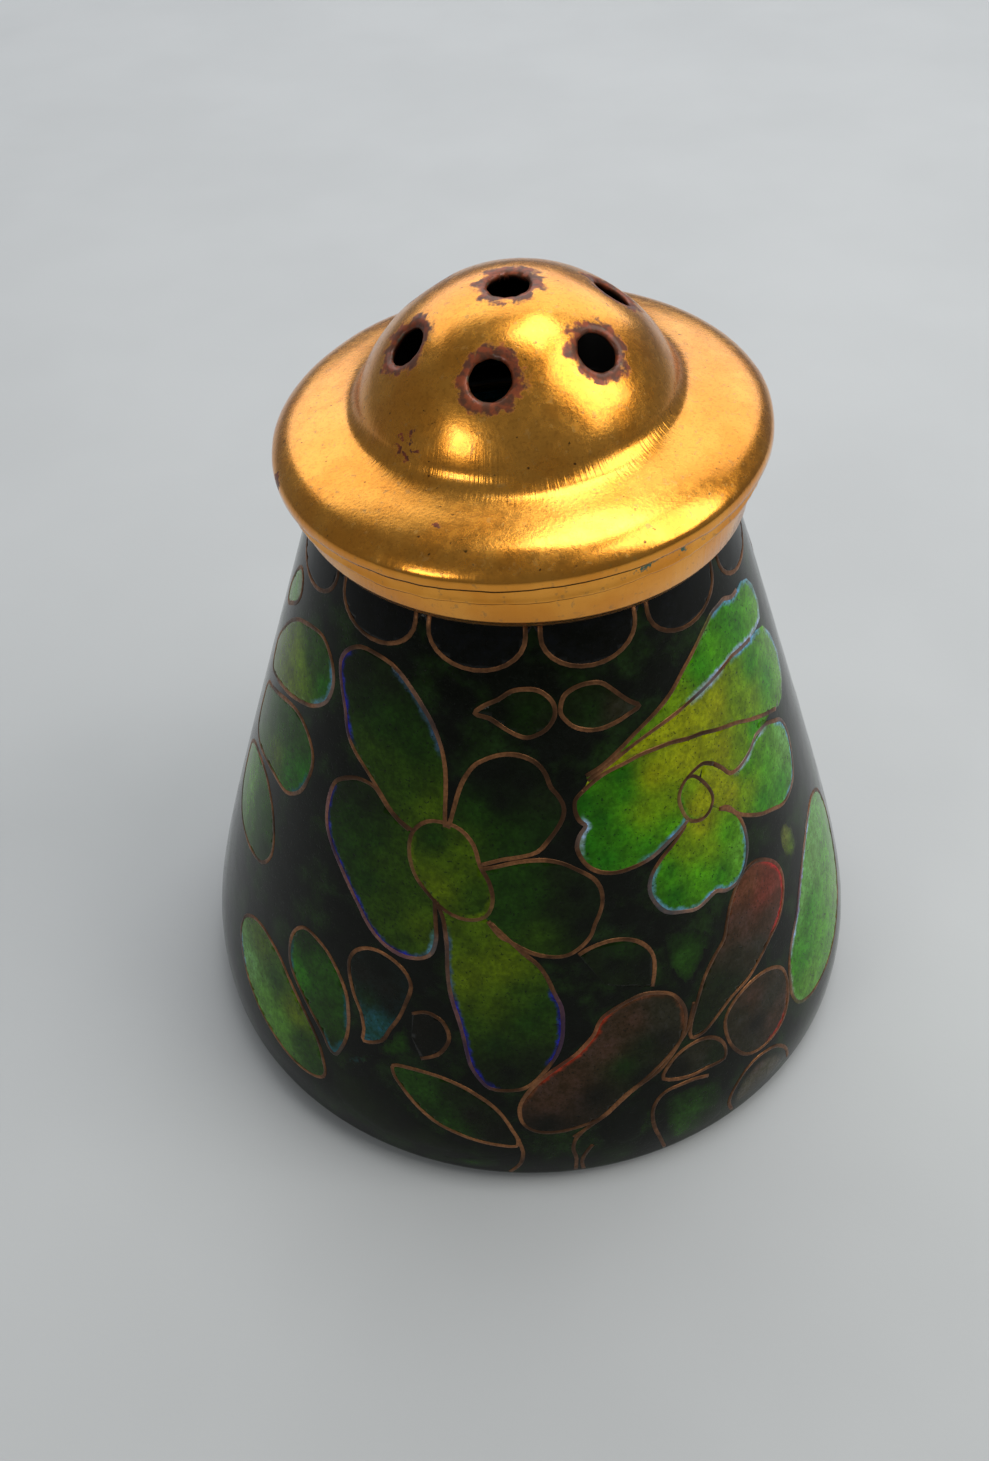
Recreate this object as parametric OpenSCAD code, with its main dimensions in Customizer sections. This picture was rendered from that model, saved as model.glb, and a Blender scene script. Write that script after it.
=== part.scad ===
// Cloisonne table shaker: an enamelled copper body with a pierced brass cap pushed onto its neck.
// Millimetres. The origin is at the middle of the foot, on the table. +Z is up and -Y is the front.

/* [Body] */
// Widest diameter of the enamelled wall
body_d = 45.5; // [36:0.5:56]
// Height of the wall, from the table to the collar
wall_top = 37.5; // [30:0.5:48]
// Diameter of the enamelled wall under the collar
shoulder_d = 23.2; // [20:0.1:28]
// Height of the straight band at the foot of the wall
straight_h = 1.9; // [1.9:0.1:5]
// Rounding of the wall's bottom edge
edge_r = 1; // [0.6:0.1:1.2]
// Gap between the bottom edge and the table
edge_gap = 0.3; // [0.1:0.1:0.6]
// Thickness of the copper wall, measured level
copper_t = 0.9; // [0.5:0.1:1.2]
// Thickness of the enamel outside, measured level
enamel_t = 0.5; // [0.3:0.1:0.6]
// Thickness of the enamel coat inside
lining_t = 0.3; // [0.2:0.1:0.6]

/* [Foot] */
// How far the foot ring stands in from the widest part of the wall
ring_inset = 4.5; // [2:0.5:8]
// Width of the foot ring
ring_w = 1.2; // [0.8:0.1:2]
// Thickness of the base plate
plate_t = 0.5; // [0.4:0.1:0.6]
// Thickness of the enamel under the base plate
base_enamel_t = 0.4; // [0.2:0.1:0.6]

/* [Collar] */
// How far the neck tube stands out past the enamel under it
neck_step = 0.75; // [0:0.05:1.5]
// Wall of the collar and its neck tube
neck_t = 0.6; // [0.4:0.1:1]
// Height of the neck tube above the wall
neck_h = 3.7; // [3:0.1:6]
// Overhang of the collar past the enamel
collar_lip = 0.4; // [0:0.1:0.6]

/* [Cap] */
// Sheet thickness of the cap
cap_t = 0.45; // [0.3:0.05:0.6]
// Wall of the skirt ring
skirt_t = 0.4; // [0.3:0.05:0.6]
// Height of the skirt ring below the seat
skirt_h = 2.1; // [1.8:0.1:3]
// Radial clearance between the neck and the skirt ring
skirt_clearance = 0.15; // [0.1:0.01:0.3]
// Height of the cap above its seat
cap_h = 7.5; // [6:0.1:11]
// Width of the brim, from the lip in to the foot of the dome
brim_w = 4.95; // [4:0.05:6]
// Diameter of the pouring holes
hole_d = 2.1; // [1:0.1:3]
// Number of holes around the middle one
hole_count = 6; // [3:1:8]
// How far the circle of holes lies in from the dome's side
hole_inset = 2.8; // [2:0.1:4]
// How far the cap sits askew, in degrees
cap_tilt = 3.6; // [0:0.1:3.8]
// Direction of the cap's raised side, in degrees from +X
cap_tilt_side = 25; // [0:5:355]
// Gap left between the neck's rim and the cap at their closest
seat_gap = 0.1; // [0.05:0.05:0.3]

/* [Wires] */
// Width of a copper wire, as seen on the wall
wire_w = 0.34; // [0.2:0.02:0.5]
// Number of scallops under the collar
scallop_count = 13; // [8:1:14]
// Share of its place around the wall that a scallop fills
scallop_fill = 0.87; // [0.6:0.01:0.88]
// Depth of a scallop below the collar
scallop_h = 2.6; // [2:0.1:5]

/* [Hidden] */
$fn = 96;

brass = "#c98a1c";
copper = "#a8643a";
dark_enamel = "#10160f";
leaf_green = "#3f8f12";
bright_green = "#5ccb22";
deep_green = "#1f5a12";
brown_red = "#5a2412";
turquoise = "#2f8f96";

// Depths of the layers below the enamelled surface, measured level.
copper_out = enamel_t;
copper_in = enamel_t + copper_t;
lining_in = copper_in + lining_t;

// Heights at which the layers' profile has a corner.
round_steps = 4;
flare_steps = 10;
plate_z = edge_gap + edge_r;
plate_top = plate_z + plate_t;
wall_heights = concat(
    [for (i = [0:round_steps - 1]) edge_gap + edge_r * (1 - cos(90 * i / round_steps))],
    [plate_z],
    [for (i = [0:flare_steps]) straight_h + (wall_top - straight_h) * i / flare_steps]
);

// The wall is a straight band that bends softly into a cone, with a rounded foot.
foot_bend = 4;
function bent(rise) = sqrt(pow(rise, 2) + pow(foot_bend, 2)) - foot_bend;
function flare_share(z) = z < straight_h ? 1 : 1 - bent(z - straight_h) / bent(wall_top - straight_h);
function edge_cut(z) = z > plate_z ? 0 : edge_r - sqrt(edge_r * edge_r - pow(plate_z - z, 2));
function wall_r(z) = shoulder_d / 2 + (body_d - shoulder_d) / 2 * flare_share(z) - edge_cut(z);

// Foot ring
ring_r = body_d / 2 - ring_inset;

// Neck, seat and cap
neck_d = shoulder_d + 2 * neck_step;
neck_top = wall_top + neck_h;
flange_in = shoulder_d / 2 - lining_in;
skirt_in = neck_d / 2 + skirt_clearance;
skirt_out = skirt_in + skirt_t;
brim_r = skirt_out + cap_t;
brim_drop = 0.9;
skirt_mid = skirt_h / 2;
cap_pivot_z = neck_top + seat_gap + neck_d / 2 * sin(cap_tilt) - skirt_mid * cos(cap_tilt);

function unit(v) = v / norm(v);
function left_of(v) = [-v[1], v[0]];

// A point between b and c on the smooth curve through a, b, c and d.
function curve_point(a, b, c, d, t) =
    (2 * b + (c - a) * t + (2 * a - 5 * b + 4 * c - d) * t * t + (3 * b - a - 3 * c + d) * t * t * t) / 2;

// A smooth closed curve through the points, with a number of steps between each two.
function closed_curve(p, steps) = let (n = len(p)) [
    for (i = [0:n - 1], j = [0:steps - 1])
        curve_point(p[(i + n - 1) % n], p[i], p[(i + 1) % n], p[(i + 2) % n], j / steps)
];

// A smooth open curve through the points.
function open_curve(p, steps) = let (n = len(p)) concat(
    [
        for (i = [0:n - 2], j = [0:steps - 1])
            curve_point(p[max(i - 1, 0)], p[i], p[i + 1], p[min(i + 2, n - 1)], j / steps)
    ],
    [p[n - 1]]
);

function turn_sense(p) = let (n = len(p))
    sign([for (i = 0, s = 0; i <= n; s = s + cross(p[i % n], p[(i + 1) % n]), i = i + 1) s][n]);

// A closed curve moved outwards by d, or inwards where d is negative.
function closed_offset(p, d) = let (n = len(p), s = turn_sense(p)) [
    for (i = [0:n - 1])
        let (
            before = unit(p[i] - p[(i + n - 1) % n]),
            after = unit(p[(i + 1) % n] - p[i]),
            across = left_of(unit(before + after))
        )
        p[i] - across * s * d
];

// An open curve moved to its left by d.
function open_offset(p, d) = let (n = len(p)) [
    for (i = [0:n - 1]) p[i] + left_of(unit(p[min(i + 1, n - 1)] - p[max(i - 1, 0)])) * d
];

// Outlines are points of [degrees from the front, height], and their height counts up from the table
// to a full count at the lowest point of the scallops, so that the pattern always ends below them.
full_count = 91.4667;
scallop_foot_z = wall_top - scallop_h;
function count_z(count) = scallop_foot_z * count / full_count;
function z_count(z) = z * full_count / scallop_foot_z;
function mid_angle(o) = (max([for (p = o) p[0]]) + min([for (p = o) p[0]])) / 2;
function flat_points(o, mid) = [
    for (p = o)
        let (z = count_z(p[1]))
        [wall_r(z) * sin(p[0] - mid), z]
];
function reversed(p) = [for (i = [len(p) - 1:-1:0]) p[i]];

// A layer of the wall between two depths, from the bottom edge to the collar.
module wall_layer(depth_out, depth_in) {
    rotate_extrude()
        polygon(concat(
            [for (z = wall_heights) [wall_r(z) - depth_out, z]],
            reversed([for (z = wall_heights) [wall_r(z) - depth_in, z]])
        ));
}

// A flat outline cut straight through the front of the wall at an angle around it.
module through_wall(mid, points) {
    rotate(mid)
        rotate([90, 0, 0])
            translate([0, 0, 2])
                linear_extrude(body_d / 2 + 2)
                    polygon(points);
}

module enamel_layer() wall_layer(0, enamel_t);

outline_steps = 2;

module outline_prism(o, grow) {
    mid = mid_angle(o);
    through_wall(mid, closed_offset(closed_curve(flat_points(o, mid), outline_steps), grow));
}

// The wire around one cell, standing on the copper and flush with the enamel.
module cell_wire(o) {
    intersection() {
        enamel_layer();
        difference() {
            outline_prism(o, wire_w / 2);
            outline_prism(o, -wire_w / 2);
        }
    }
}

module cell_fill(o) {
    intersection() {
        enamel_layer();
        outline_prism(o, -wire_w / 2);
    }
}

// An open wire along a path.
module path_prism(o) {
    mid = mid_angle(o);
    p = open_curve(flat_points(o, mid), outline_steps);
    through_wall(mid, concat(open_offset(p, wire_w / 2), reversed(open_offset(p, -wire_w / 2))));
}

// The pattern is drawn once for the front and again, half a turn on, for the back.
module both_sides() {
    for (side = [0, 180]) rotate(side) children();
}

module wires(outlines) both_sides() for (o = outlines) cell_wire(o);
module fills(outlines) both_sides() for (o = outlines) cell_fill(o);

// Blossom: an oval centre and five petals.
blossom_centre = [
    [-27, 65.5], [-22, 67.5], [-14.5, 64.5], [-9.5, 59], [-9.5, 54], [-14, 53], [-21, 56],
    [-26.5, 61]
];
blossom_petals = [
    [
        [-21.5, 71], [-23, 76], [-28, 82.5], [-36, 87.5], [-46, 88.5], [-54.5, 85],
        [-55, 79.5], [-48, 74.3], [-38, 69.8], [-29.5, 68.3], [-24.5, 69.3]
    ],
    [
        [-17.5, 69], [-17.5, 72.5], [-14.5, 76.5], [-9, 78.5], [-3, 78.4], [1.3, 76.8],
        [3, 74.6], [5, 72.5], [4.9, 69], [3, 66.3], [-1.5, 64.8], [-8.5, 64.5], [-13, 66.5]
    ],
    [
        [-6.2, 61.2], [-2, 62.6], [3.5, 62.6], [8, 60.8], [11.5, 57.8], [12.3, 54.5],
        [9.8, 51], [5.5, 48.6], [0, 48.4], [-4.2, 50.6], [-6.2, 55]
    ],
    [
        [-14.5, 51], [-17, 46], [-16, 40], [-14, 34], [-11.5, 28], [-7.5, 24.5], [-3, 24.8],
        [1, 28.5], [2.8, 35], [2, 41], [-0.5, 45.3], [-4, 47.6], [-9.5, 50.8]
    ],
    [
        [-31, 64.8], [-35.5, 67.2], [-42, 68.5], [-47.5, 66.5], [-49.8, 62.3], [-48.5, 57.5], [-43.5, 53],
        [-37.5, 50.5], [-33.5, 47], [-27.5, 44.8], [-22, 45.4], [-20.2, 48.8], [-24.5, 53.6], [-29.2, 60]
    ],
];

// Orchid: an oval centre, three lobes and two long petals that run off to the right.
orchid_centre = [
    [31.5, 65.2], [33, 67.9], [36.5, 69], [40, 67.9], [41.5, 65.2], [40, 62.5], [36.5, 61.4],
    [33, 62.5]
];
orchid_petals = [
    [
        [28.5, 79.6], [40, 84], [50, 87.8], [58, 89.2], [67, 87.5], [77, 84], [84, 81],
        [85, 77.5], [81, 76.5], [74.5, 78.2], [62, 81], [50, 81.3], [39, 80.6]
    ],
    [
        [22, 75.8], [28, 77.8], [39.5, 78.8], [50, 79.5], [60, 79.2], [74.5, 76], [84, 73], [86, 68],
        [83, 63], [76, 63], [67, 66.6], [57.5, 70.2], [48, 73.3], [38, 75.2], [29, 75.7]
    ],
    [
        [11.5, 73], [8.4, 70], [10, 67.2], [9, 64], [11.5, 61.2], [17, 59.8], [24, 60.8], [27.7, 62.8],
        [29, 66], [30.3, 69.5], [34.5, 71.8], [33, 73.6], [27, 74], [19, 74.1]
    ],
    [
        [44.5, 62.5], [47.3, 58.5], [53, 54.2], [61, 51.2], [68, 52.2], [70.5, 56], [71.5, 60],
        [67, 63.3], [59, 64.6], [51, 64.6], [47, 66.4], [44.5, 65.5]
    ],
    [
        [32, 59.8], [26, 58.2], [22.3, 55], [24.3, 51.2], [29.5, 49.4], [34.7, 50.4], [39.5, 49.2],
        [44.3, 51.5], [46, 55], [44.2, 58.3], [40.5, 59.8]
    ],
];
orchid_stem = [[12, 75.6], [16, 76.8], [20, 77.7], [24.5, 78.9]];

buds = [
    [
        [-11, 85], [-6.5, 87.5], [-1.5, 88.9], [2.8, 88.4], [4.9, 85.2], [3.3, 82.2], [-1.5, 81.3],
        [-7, 82.6]
    ],
    [[8.2, 85], [9.9, 88], [14, 88.6], [19, 86.6], [25.5, 83], [19, 81.6], [13, 81.1], [9.5, 82.2]],
    [[54.5, 46.5], [56, 48.8], [58.5, 49.3], [61, 47.5], [60.5, 44.8], [57.5, 43.8]],
];

// Side flower: three petals that open to the right.
side_petals = [
    [
        [-88.5, 78], [-83, 81.5], [-74, 83.3], [-64, 82.6], [-58.5, 79], [-61, 74.5], [-70, 72.3],
        [-81, 73]
    ],
    [
        [-90, 62.5], [-83, 67], [-74, 69], [-65, 68], [-58.5, 64], [-58, 59.5], [-64, 56.8],
        [-74, 56.8], [-84, 58]
    ],
    [[-90, 49], [-83, 53.2], [-74, 54.6], [-66, 53], [-62, 48.5], [-64, 43.5], [-72, 41.5], [-82, 43]],
];

// Low flower: two large petals, a teardrop, a loop, a low petal and a small oval centre.
low_petals = [
    [
        [-38, 20.5], [-36, 24], [-37.5, 30], [-41.5, 36.5], [-46, 39.8], [-50.5, 37.5],
        [-51, 31.5], [-46, 25.5], [-41.5, 21]
    ],
    [
        [-40.5, 11.5], [-39.5, 15], [-43, 19.5], [-48.5, 24.5], [-54, 29.8], [-60.5, 31],
        [-65.5, 27], [-64, 20.5], [-57, 14.5], [-48, 10.8]
    ],
    [[-33, 24.6], [-30.8, 26.6], [-28.6, 24.6], [-30.8, 22.6]],
    [
        [-29.3, 29.5], [-33, 34], [-35, 38.5], [-32, 42.3], [-27.5, 42.8], [-23.8, 39.5],
        [-24.8, 34.5], [-27, 30.5]
    ],
    [[-25, 28.4], [-22.5, 32.5], [-19.5, 35.3], [-17, 33.2], [-17.5, 29.5], [-20.5, 27.4]],
    [
        [-26, 22], [-21, 24.2], [-14, 23.2], [-8, 19.8], [-6, 14.5], [-9, 10.5], [-16, 11.3],
        [-22, 15.5], [-26, 19.3]
    ],
];

green_leaves = [
    [
        [4.5, 45.3], [9, 46.7], [14.5, 47.6], [19, 46], [20.8, 42.5], [19, 40.2], [13, 39.8],
        [7.5, 39], [5, 41.5]
    ],
    [[13, 15.3], [18, 17.8], [24, 20.2], [29.5, 20.8], [31.5, 18], [29, 15], [22, 13.5], [16, 13]],
    [
        [50, 17], [49.5, 24], [53, 32.5], [60, 39.5], [69, 43], [78, 41.5], [80, 33], [74, 22],
        [64, 15], [56, 13]
    ],
];
red_leaves = [
    [
        [-3.5, 15.5], [-3.2, 19], [0, 22.8], [5, 27.5], [8.5, 31], [10.5, 35], [15, 37.6], [21, 37.6],
        [24, 34], [22.8, 28.3], [17.5, 23], [9.5, 17.8], [2.5, 14.3]
    ],
    [
        [21.5, 23], [25.3, 27.5], [27, 33], [30, 38.3], [35.5, 43], [41, 47], [47.5, 47.2], [51.5, 43.5],
        [49.5, 38.5], [45.5, 34], [38, 31.2], [31, 29.8], [27, 25], [24, 22.6]
    ],
    [[33, 27], [37, 28.3], [42, 28.3], [45.5, 24.5], [46, 20], [43.5, 16.5], [38.5, 17.5], [34.5, 21.5]],
];
hook = [[16, 4.5], [15.5, 8.5], [18.5, 11], [24, 11.3]];
arch = [[31.6, 4.5], [33.4, 10], [38.3, 12.5], [44.4, 10], [46.8, 4.5]];
open_wires = [orchid_stem, hook, arch];

// Scallop: straight sides and a deep half oval, cut off at the top by the end of the wall.
scallop_half = 180 / scallop_count * scallop_fill;
scallop_side_share = 0.3;
scallop_arc_z = wall_top - scallop_h * scallop_side_share;
scallop_arc_drop = scallop_h * (1 - scallop_side_share);
past_wall_z = wall_top + 2.25;
scallop = concat(
    [[-scallop_half, z_count(past_wall_z)]],
    [
        for (a = [180:22.5:360])
            [scallop_half * cos(a), z_count(scallop_arc_z + scallop_arc_drop * sin(a))]
    ],
    [[scallop_half, z_count(past_wall_z)]]
);

module scallop_prism(grow) {
    through_wall(0, closed_offset(flat_points(scallop, 0), grow));
}

module around_collar() {
    for (i = [0:scallop_count - 1]) rotate((i + 0.5) * 360 / scallop_count) children();
}

all_cells = concat(
    [blossom_centre, orchid_centre], blossom_petals, orchid_petals, buds,
    side_petals, low_petals, green_leaves, red_leaves
);

// Copper body: a spun shell, open at the foot and at the shoulder.
module copper_body() {
    color(copper) wall_layer(copper_out, copper_in);
}

// Base plate: a copper disc that closes the foot.
module base_plate() {
    color(copper)
        translate([0, 0, plate_z])
            cylinder(h = plate_t, r = body_d / 2 - copper_in);
}

// Foot ring: the brass ring that the shaker stands on.
module foot_ring() {
    color(brass)
        difference() {
            cylinder(h = plate_z, r = ring_r);
            translate([0, 0, -1]) cylinder(h = plate_z + 2, r = ring_r - ring_w);
        }
}

// Base enamel: a disc inside the foot ring and a band outside it.
module base_enamel() {
    base_enamel_z = plate_z - base_enamel_t;
    band_r = wall_r(base_enamel_z) - copper_in;
    color(turquoise)
        translate([0, 0, base_enamel_z])
            difference() {
                cylinder(h = base_enamel_t, r = band_r);
                difference() {
                    translate([0, 0, -1]) cylinder(h = base_enamel_t + 2, r = ring_r);
                    translate([0, 0, -2]) cylinder(h = base_enamel_t + 4, r = ring_r - ring_w);
                }
            }
}

// Lining enamel: the coat inside the wall and over the base plate.
module lining_enamel() {
    heights = concat([plate_top], [for (z = wall_heights) if (z > plate_top) z]);
    inner = concat([plate_top + lining_t], [for (z = wall_heights) if (z > plate_top + lining_t) z]);
    color(turquoise)
        rotate_extrude()
            polygon(concat(
                [[0, plate_top]],
                [for (z = heights) [wall_r(z) - copper_in, z]],
                reversed([for (z = inner) [wall_r(z) - lining_in, z]]),
                [[0, plate_top + lining_t]]
            ));
}

// Neck collar: a flange on the shoulder and the tube that the cap pushes onto.
module neck_collar() {
    color(brass)
        rotate_extrude()
            polygon([
                [flange_in, wall_top],
                [shoulder_d / 2 + collar_lip, wall_top],
                [neck_d / 2, wall_top + neck_t],
                [neck_d / 2, neck_top],
                [neck_d / 2 - neck_t, neck_top],
                [neck_d / 2 - neck_t, wall_top + neck_t],
                [flange_in, wall_top + neck_t],
            ]);
}

// Ground enamel: what is left of the layer around the cells and the open wires.
module ground_enamel() {
    color(dark_enamel)
        difference() {
            enamel_layer();
            around_collar() scallop_prism(wire_w / 2);
            both_sides() for (o = all_cells) outline_prism(o, wire_w / 2);
            both_sides() for (o = open_wires) path_prism(o);
        }
}

module scallop_wires() {
    color(copper)
        around_collar()
            intersection() {
                enamel_layer();
                difference() {
                    scallop_prism(wire_w / 2);
                    scallop_prism(-wire_w / 2);
                }
            }
}

module scallop_enamel() {
    color(dark_enamel)
        around_collar()
            intersection() {
                enamel_layer();
                scallop_prism(-wire_w / 2);
            }
}

module bud_wires() { color(copper) wires(buds); }
module bud_enamel() { color(deep_green) fills(buds); }
module blossom_wires() { color(copper) wires(concat([blossom_centre], blossom_petals)); }
module blossom_petal_enamel() { color(leaf_green) fills(blossom_petals); }
module blossom_centre_enamel() { color(leaf_green) fills([blossom_centre]); }
module orchid_wires() { color(copper) wires(concat([orchid_centre], orchid_petals)); }
module orchid_petal_enamel() { color(bright_green) fills(orchid_petals); }
module orchid_centre_enamel() { color(bright_green) fills([orchid_centre]); }
module side_flower_wires() { color(copper) wires(side_petals); }
module side_flower_enamel() { color(bright_green) fills(side_petals); }
module low_flower_wires() { color(copper) wires(low_petals); }
module low_flower_enamel() { color(leaf_green) fills(low_petals); }
module leaf_wires() { color(copper) wires(concat(green_leaves, red_leaves)); }
module green_leaf_enamel() { color(deep_green) fills(green_leaves); }
module red_leaf_enamel() { color(brown_red) fills(red_leaves); }

// Tendril wires: open wires with ground enamel on both sides.
module tendril_wires() {
    color(copper)
        both_sides()
            for (o = open_wires)
                intersection() {
                    enamel_layer();
                    path_prism(o);
                }
}

// The cap's own frame: its seat is at z = 0, and it tilts about the middle of the skirt ring.
module askew() {
    translate([0, 0, cap_pivot_z])
        rotate([0, 0, cap_tilt_side])
            rotate([0, -cap_tilt, 0])
                translate([0, 0, skirt_mid])
                    rotate([0, 0, -cap_tilt_side])
                        children();
}

// Outside of the pressed cap: a dome, the cove at its foot, the brim and the rolled lip.
// The dome falls as a rounded bell: its two powers flatten the top and fill out the shoulder.
dome_r = brim_r - brim_w;
cove_z = 2;
dome_points = 9;
dome_top_power = 2.2;
dome_side_power = 0.8;
function dome_z(share) =
    cove_z + (cap_h - cove_z) * pow(1 - pow(share, dome_top_power), dome_side_power);
cap_outline = concat(
    [for (i = [0:dome_points]) let (share = sin(90 * i / dome_points)) [dome_r * share, dome_z(share)]],
    [
        [dome_r + 0.6, 1.45], [dome_r + 1.4, 1.15], [brim_r - 2.2, 0.85],
        [brim_r - 1.1, 0.55], [brim_r - 0.35, 0.1], [brim_r, -0.4], [brim_r, -brim_drop]
    ]
);
cap_inside = concat(
    [[0, cap_h - cap_t]],
    [for (i = [1:len(cap_outline) - 2]) open_offset(cap_outline, -cap_t)[i]],
    [[skirt_out, -brim_drop]]
);

// The circle of holes, and the slope of the dome's sheet there, in degrees.
hole_circle_r = dome_r - hole_inset;
hole_slope = 38;
hole_phase = -103;

// Cap dome: the pressed top with its pouring holes, each square to the sheet.
module cap_dome() {
    color(brass)
        askew()
            difference() {
                rotate_extrude() polygon(concat(cap_outline, reversed(cap_inside)));
                translate([0, 0, cap_h - 3]) cylinder(h = 6, d = hole_d);
                for (i = [0:hole_count - 1])
                    rotate(i * 360 / hole_count + hole_phase)
                        translate([hole_circle_r, 0, dome_z(hole_circle_r / dome_r)])
                            rotate([0, hole_slope, 0])
                                translate([0, 0, -2])
                                    cylinder(h = 4, d = hole_d);
            }
}

// Cap skirt: the plain ring soldered inside the brim, which slips over the neck.
module cap_skirt() {
    skirt_top = -0.5;
    color(brass)
        askew()
            translate([0, 0, -skirt_h])
                difference() {
                    cylinder(h = skirt_h + skirt_top, r = skirt_out);
                    translate([0, 0, -1]) cylinder(h = skirt_h + 2, r = skirt_in);
                }
}

copper_body();
base_plate();
foot_ring();
base_enamel();
lining_enamel();
neck_collar();
ground_enamel();
scallop_wires();
scallop_enamel();
bud_wires();
bud_enamel();
blossom_wires();
blossom_petal_enamel();
blossom_centre_enamel();
orchid_wires();
orchid_petal_enamel();
orchid_centre_enamel();
side_flower_wires();
side_flower_enamel();
low_flower_wires();
low_flower_enamel();
leaf_wires();
green_leaf_enamel();
red_leaf_enamel();
tendril_wires();
cap_dome();
cap_skirt();
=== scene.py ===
# %% [markdown]
# # A cloisonne table shaker
# The real object is a small pepper shaker. Its body is a cone of spun copper on a short straight foot.
# A pattern of copper wires is soldered to it, and the fields between the wires are filled with glass
# enamel. A pressed brass cap with seven holes is pushed onto a brass neck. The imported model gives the
# frame: every size below is read from it or agrees with it, so each visible piece sits where the solid
# model says. Shapes are worked out in millimetres, because that is how such a small thing is made, and
# turned to metres at the end.

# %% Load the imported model
import math

import bmesh
import bpy
import numpy as np
from mathutils import Matrix, Vector, noise


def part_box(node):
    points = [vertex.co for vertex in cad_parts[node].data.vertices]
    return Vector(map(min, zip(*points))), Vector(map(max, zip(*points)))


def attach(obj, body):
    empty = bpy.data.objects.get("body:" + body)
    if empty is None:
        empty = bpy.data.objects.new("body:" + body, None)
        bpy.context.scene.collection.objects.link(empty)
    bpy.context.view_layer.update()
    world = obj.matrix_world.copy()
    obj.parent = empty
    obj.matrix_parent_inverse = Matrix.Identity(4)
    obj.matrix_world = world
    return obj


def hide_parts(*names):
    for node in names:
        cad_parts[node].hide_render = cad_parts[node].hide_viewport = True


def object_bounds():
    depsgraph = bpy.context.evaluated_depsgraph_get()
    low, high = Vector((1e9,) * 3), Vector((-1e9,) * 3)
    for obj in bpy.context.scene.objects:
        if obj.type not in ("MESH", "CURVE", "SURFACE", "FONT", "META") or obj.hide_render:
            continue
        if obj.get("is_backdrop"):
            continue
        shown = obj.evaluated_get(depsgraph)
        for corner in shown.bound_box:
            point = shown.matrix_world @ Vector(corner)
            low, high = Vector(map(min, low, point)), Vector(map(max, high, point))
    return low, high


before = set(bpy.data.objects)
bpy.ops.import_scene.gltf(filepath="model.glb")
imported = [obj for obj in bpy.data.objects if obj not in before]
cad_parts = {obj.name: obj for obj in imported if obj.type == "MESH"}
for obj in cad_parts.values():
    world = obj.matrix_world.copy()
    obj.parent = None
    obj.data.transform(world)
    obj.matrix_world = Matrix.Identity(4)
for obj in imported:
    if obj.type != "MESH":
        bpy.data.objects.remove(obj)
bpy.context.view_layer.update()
MM = 0.001

# %% [markdown]
# ## Camera
# The shaker stands on a table and is seen from above and close by. A short lens at ten centimetres
# gives the strong narrowing towards the foot that such a close view has. The camera could be aimed with
# a constraint, but a fixed turn and a small roll say the same thing in one line and never change when a
# piece does.

# %% Camera
CAMERA_PLACE = Vector((-2.104, -59.98, 79.62)) * MM
CAMERA_PITCH, CAMERA_ROLL = math.radians(44.24), math.radians(-2.56)
LENS, SENSOR_WIDTH = 32.03, 36
NEAREST, FARTHEST = 1 * MM, 10

camera_data = bpy.data.cameras.new("table_view")
camera_data.lens, camera_data.sensor_width = LENS, SENSOR_WIDTH
camera_data.clip_start, camera_data.clip_end = NEAREST, FARTHEST
camera = bpy.data.objects.new("table_view", camera_data)
camera.matrix_world = (
    Matrix.Translation(CAMERA_PLACE)
    @ Matrix.Rotation(CAMERA_PITCH, 4, "X")
    @ Matrix.Rotation(CAMERA_ROLL, 4, "Z")
)
bpy.context.scene.collection.objects.link(camera)
bpy.context.scene.camera = camera
print("camera at", [round(c / MM, 1) for c in CAMERA_PLACE], "mm")

# %% [markdown]
# ## Light
# Daylight falls on the table from one large window behind the shaker, so the floor darkens towards the
# viewer. Three small panes, one high up, one at the right and a faint one at the left, give the gilt
# cap its highlights, and the gaps between them are the shaded room. Area lights with a soft edge do
# this; a sun lamp would draw hard shadows.

# %% Light
# Each row holds a name, a place, a target and a size in millimetres, then the power and the colour.
PANES = [
    ("back_window", (10, 330, 270), (0, 110, 0), (720, 340), 1.2, (0.97, 0.98, 1.0)),
    ("high_pane", (50, 60, 340), (20, 20, 30), (130, 130), 0.3, (0.98, 0.99, 1.0)),
    ("right_pane", (190, -50, 255), (20, 10, 30), (170, 220), 0.44, (1.0, 0.99, 0.95)),
    ("left_pane", (-150, -150, 140), (0, 0, 40), (60, 60), 0.06, (1.0, 0.98, 0.94)),
]
ROOM_COLOUR, ROOM_STRENGTH = (0.72, 0.77, 0.80, 1), 0.25

for name, lamp_place, target, size, power, colour in PANES:
    data = bpy.data.lights.new(name, "AREA")
    data.shape, data.size, data.size_y = "RECTANGLE", size[0] * MM, size[1] * MM
    data.energy, data.color = power, colour
    lamp = bpy.data.objects.new(name, data)
    lamp.location = Vector(lamp_place) * MM
    lamp.rotation_euler = (Vector(target) - Vector(lamp_place)).to_track_quat("-Z", "Y").to_euler()
    bpy.context.scene.collection.objects.link(lamp)

world = bpy.data.worlds.new("pale_room")
world.use_nodes = True
world.node_tree.nodes["Background"].inputs["Color"].default_value = ROOM_COLOUR
world.node_tree.nodes["Background"].inputs["Strength"].default_value = ROOM_STRENGTH
bpy.context.scene.world = world
bpy.context.scene.view_settings.view_transform = "Standard"
print("lights:", [row[0] for row in PANES])

# %% [markdown]
# ## Tools for finishes
# Every finish below is a small node tree. A short helper that makes a node, sets its values and links
# its inputs keeps each recipe readable. Patterns are measured in millimetres on the object itself.

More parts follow.
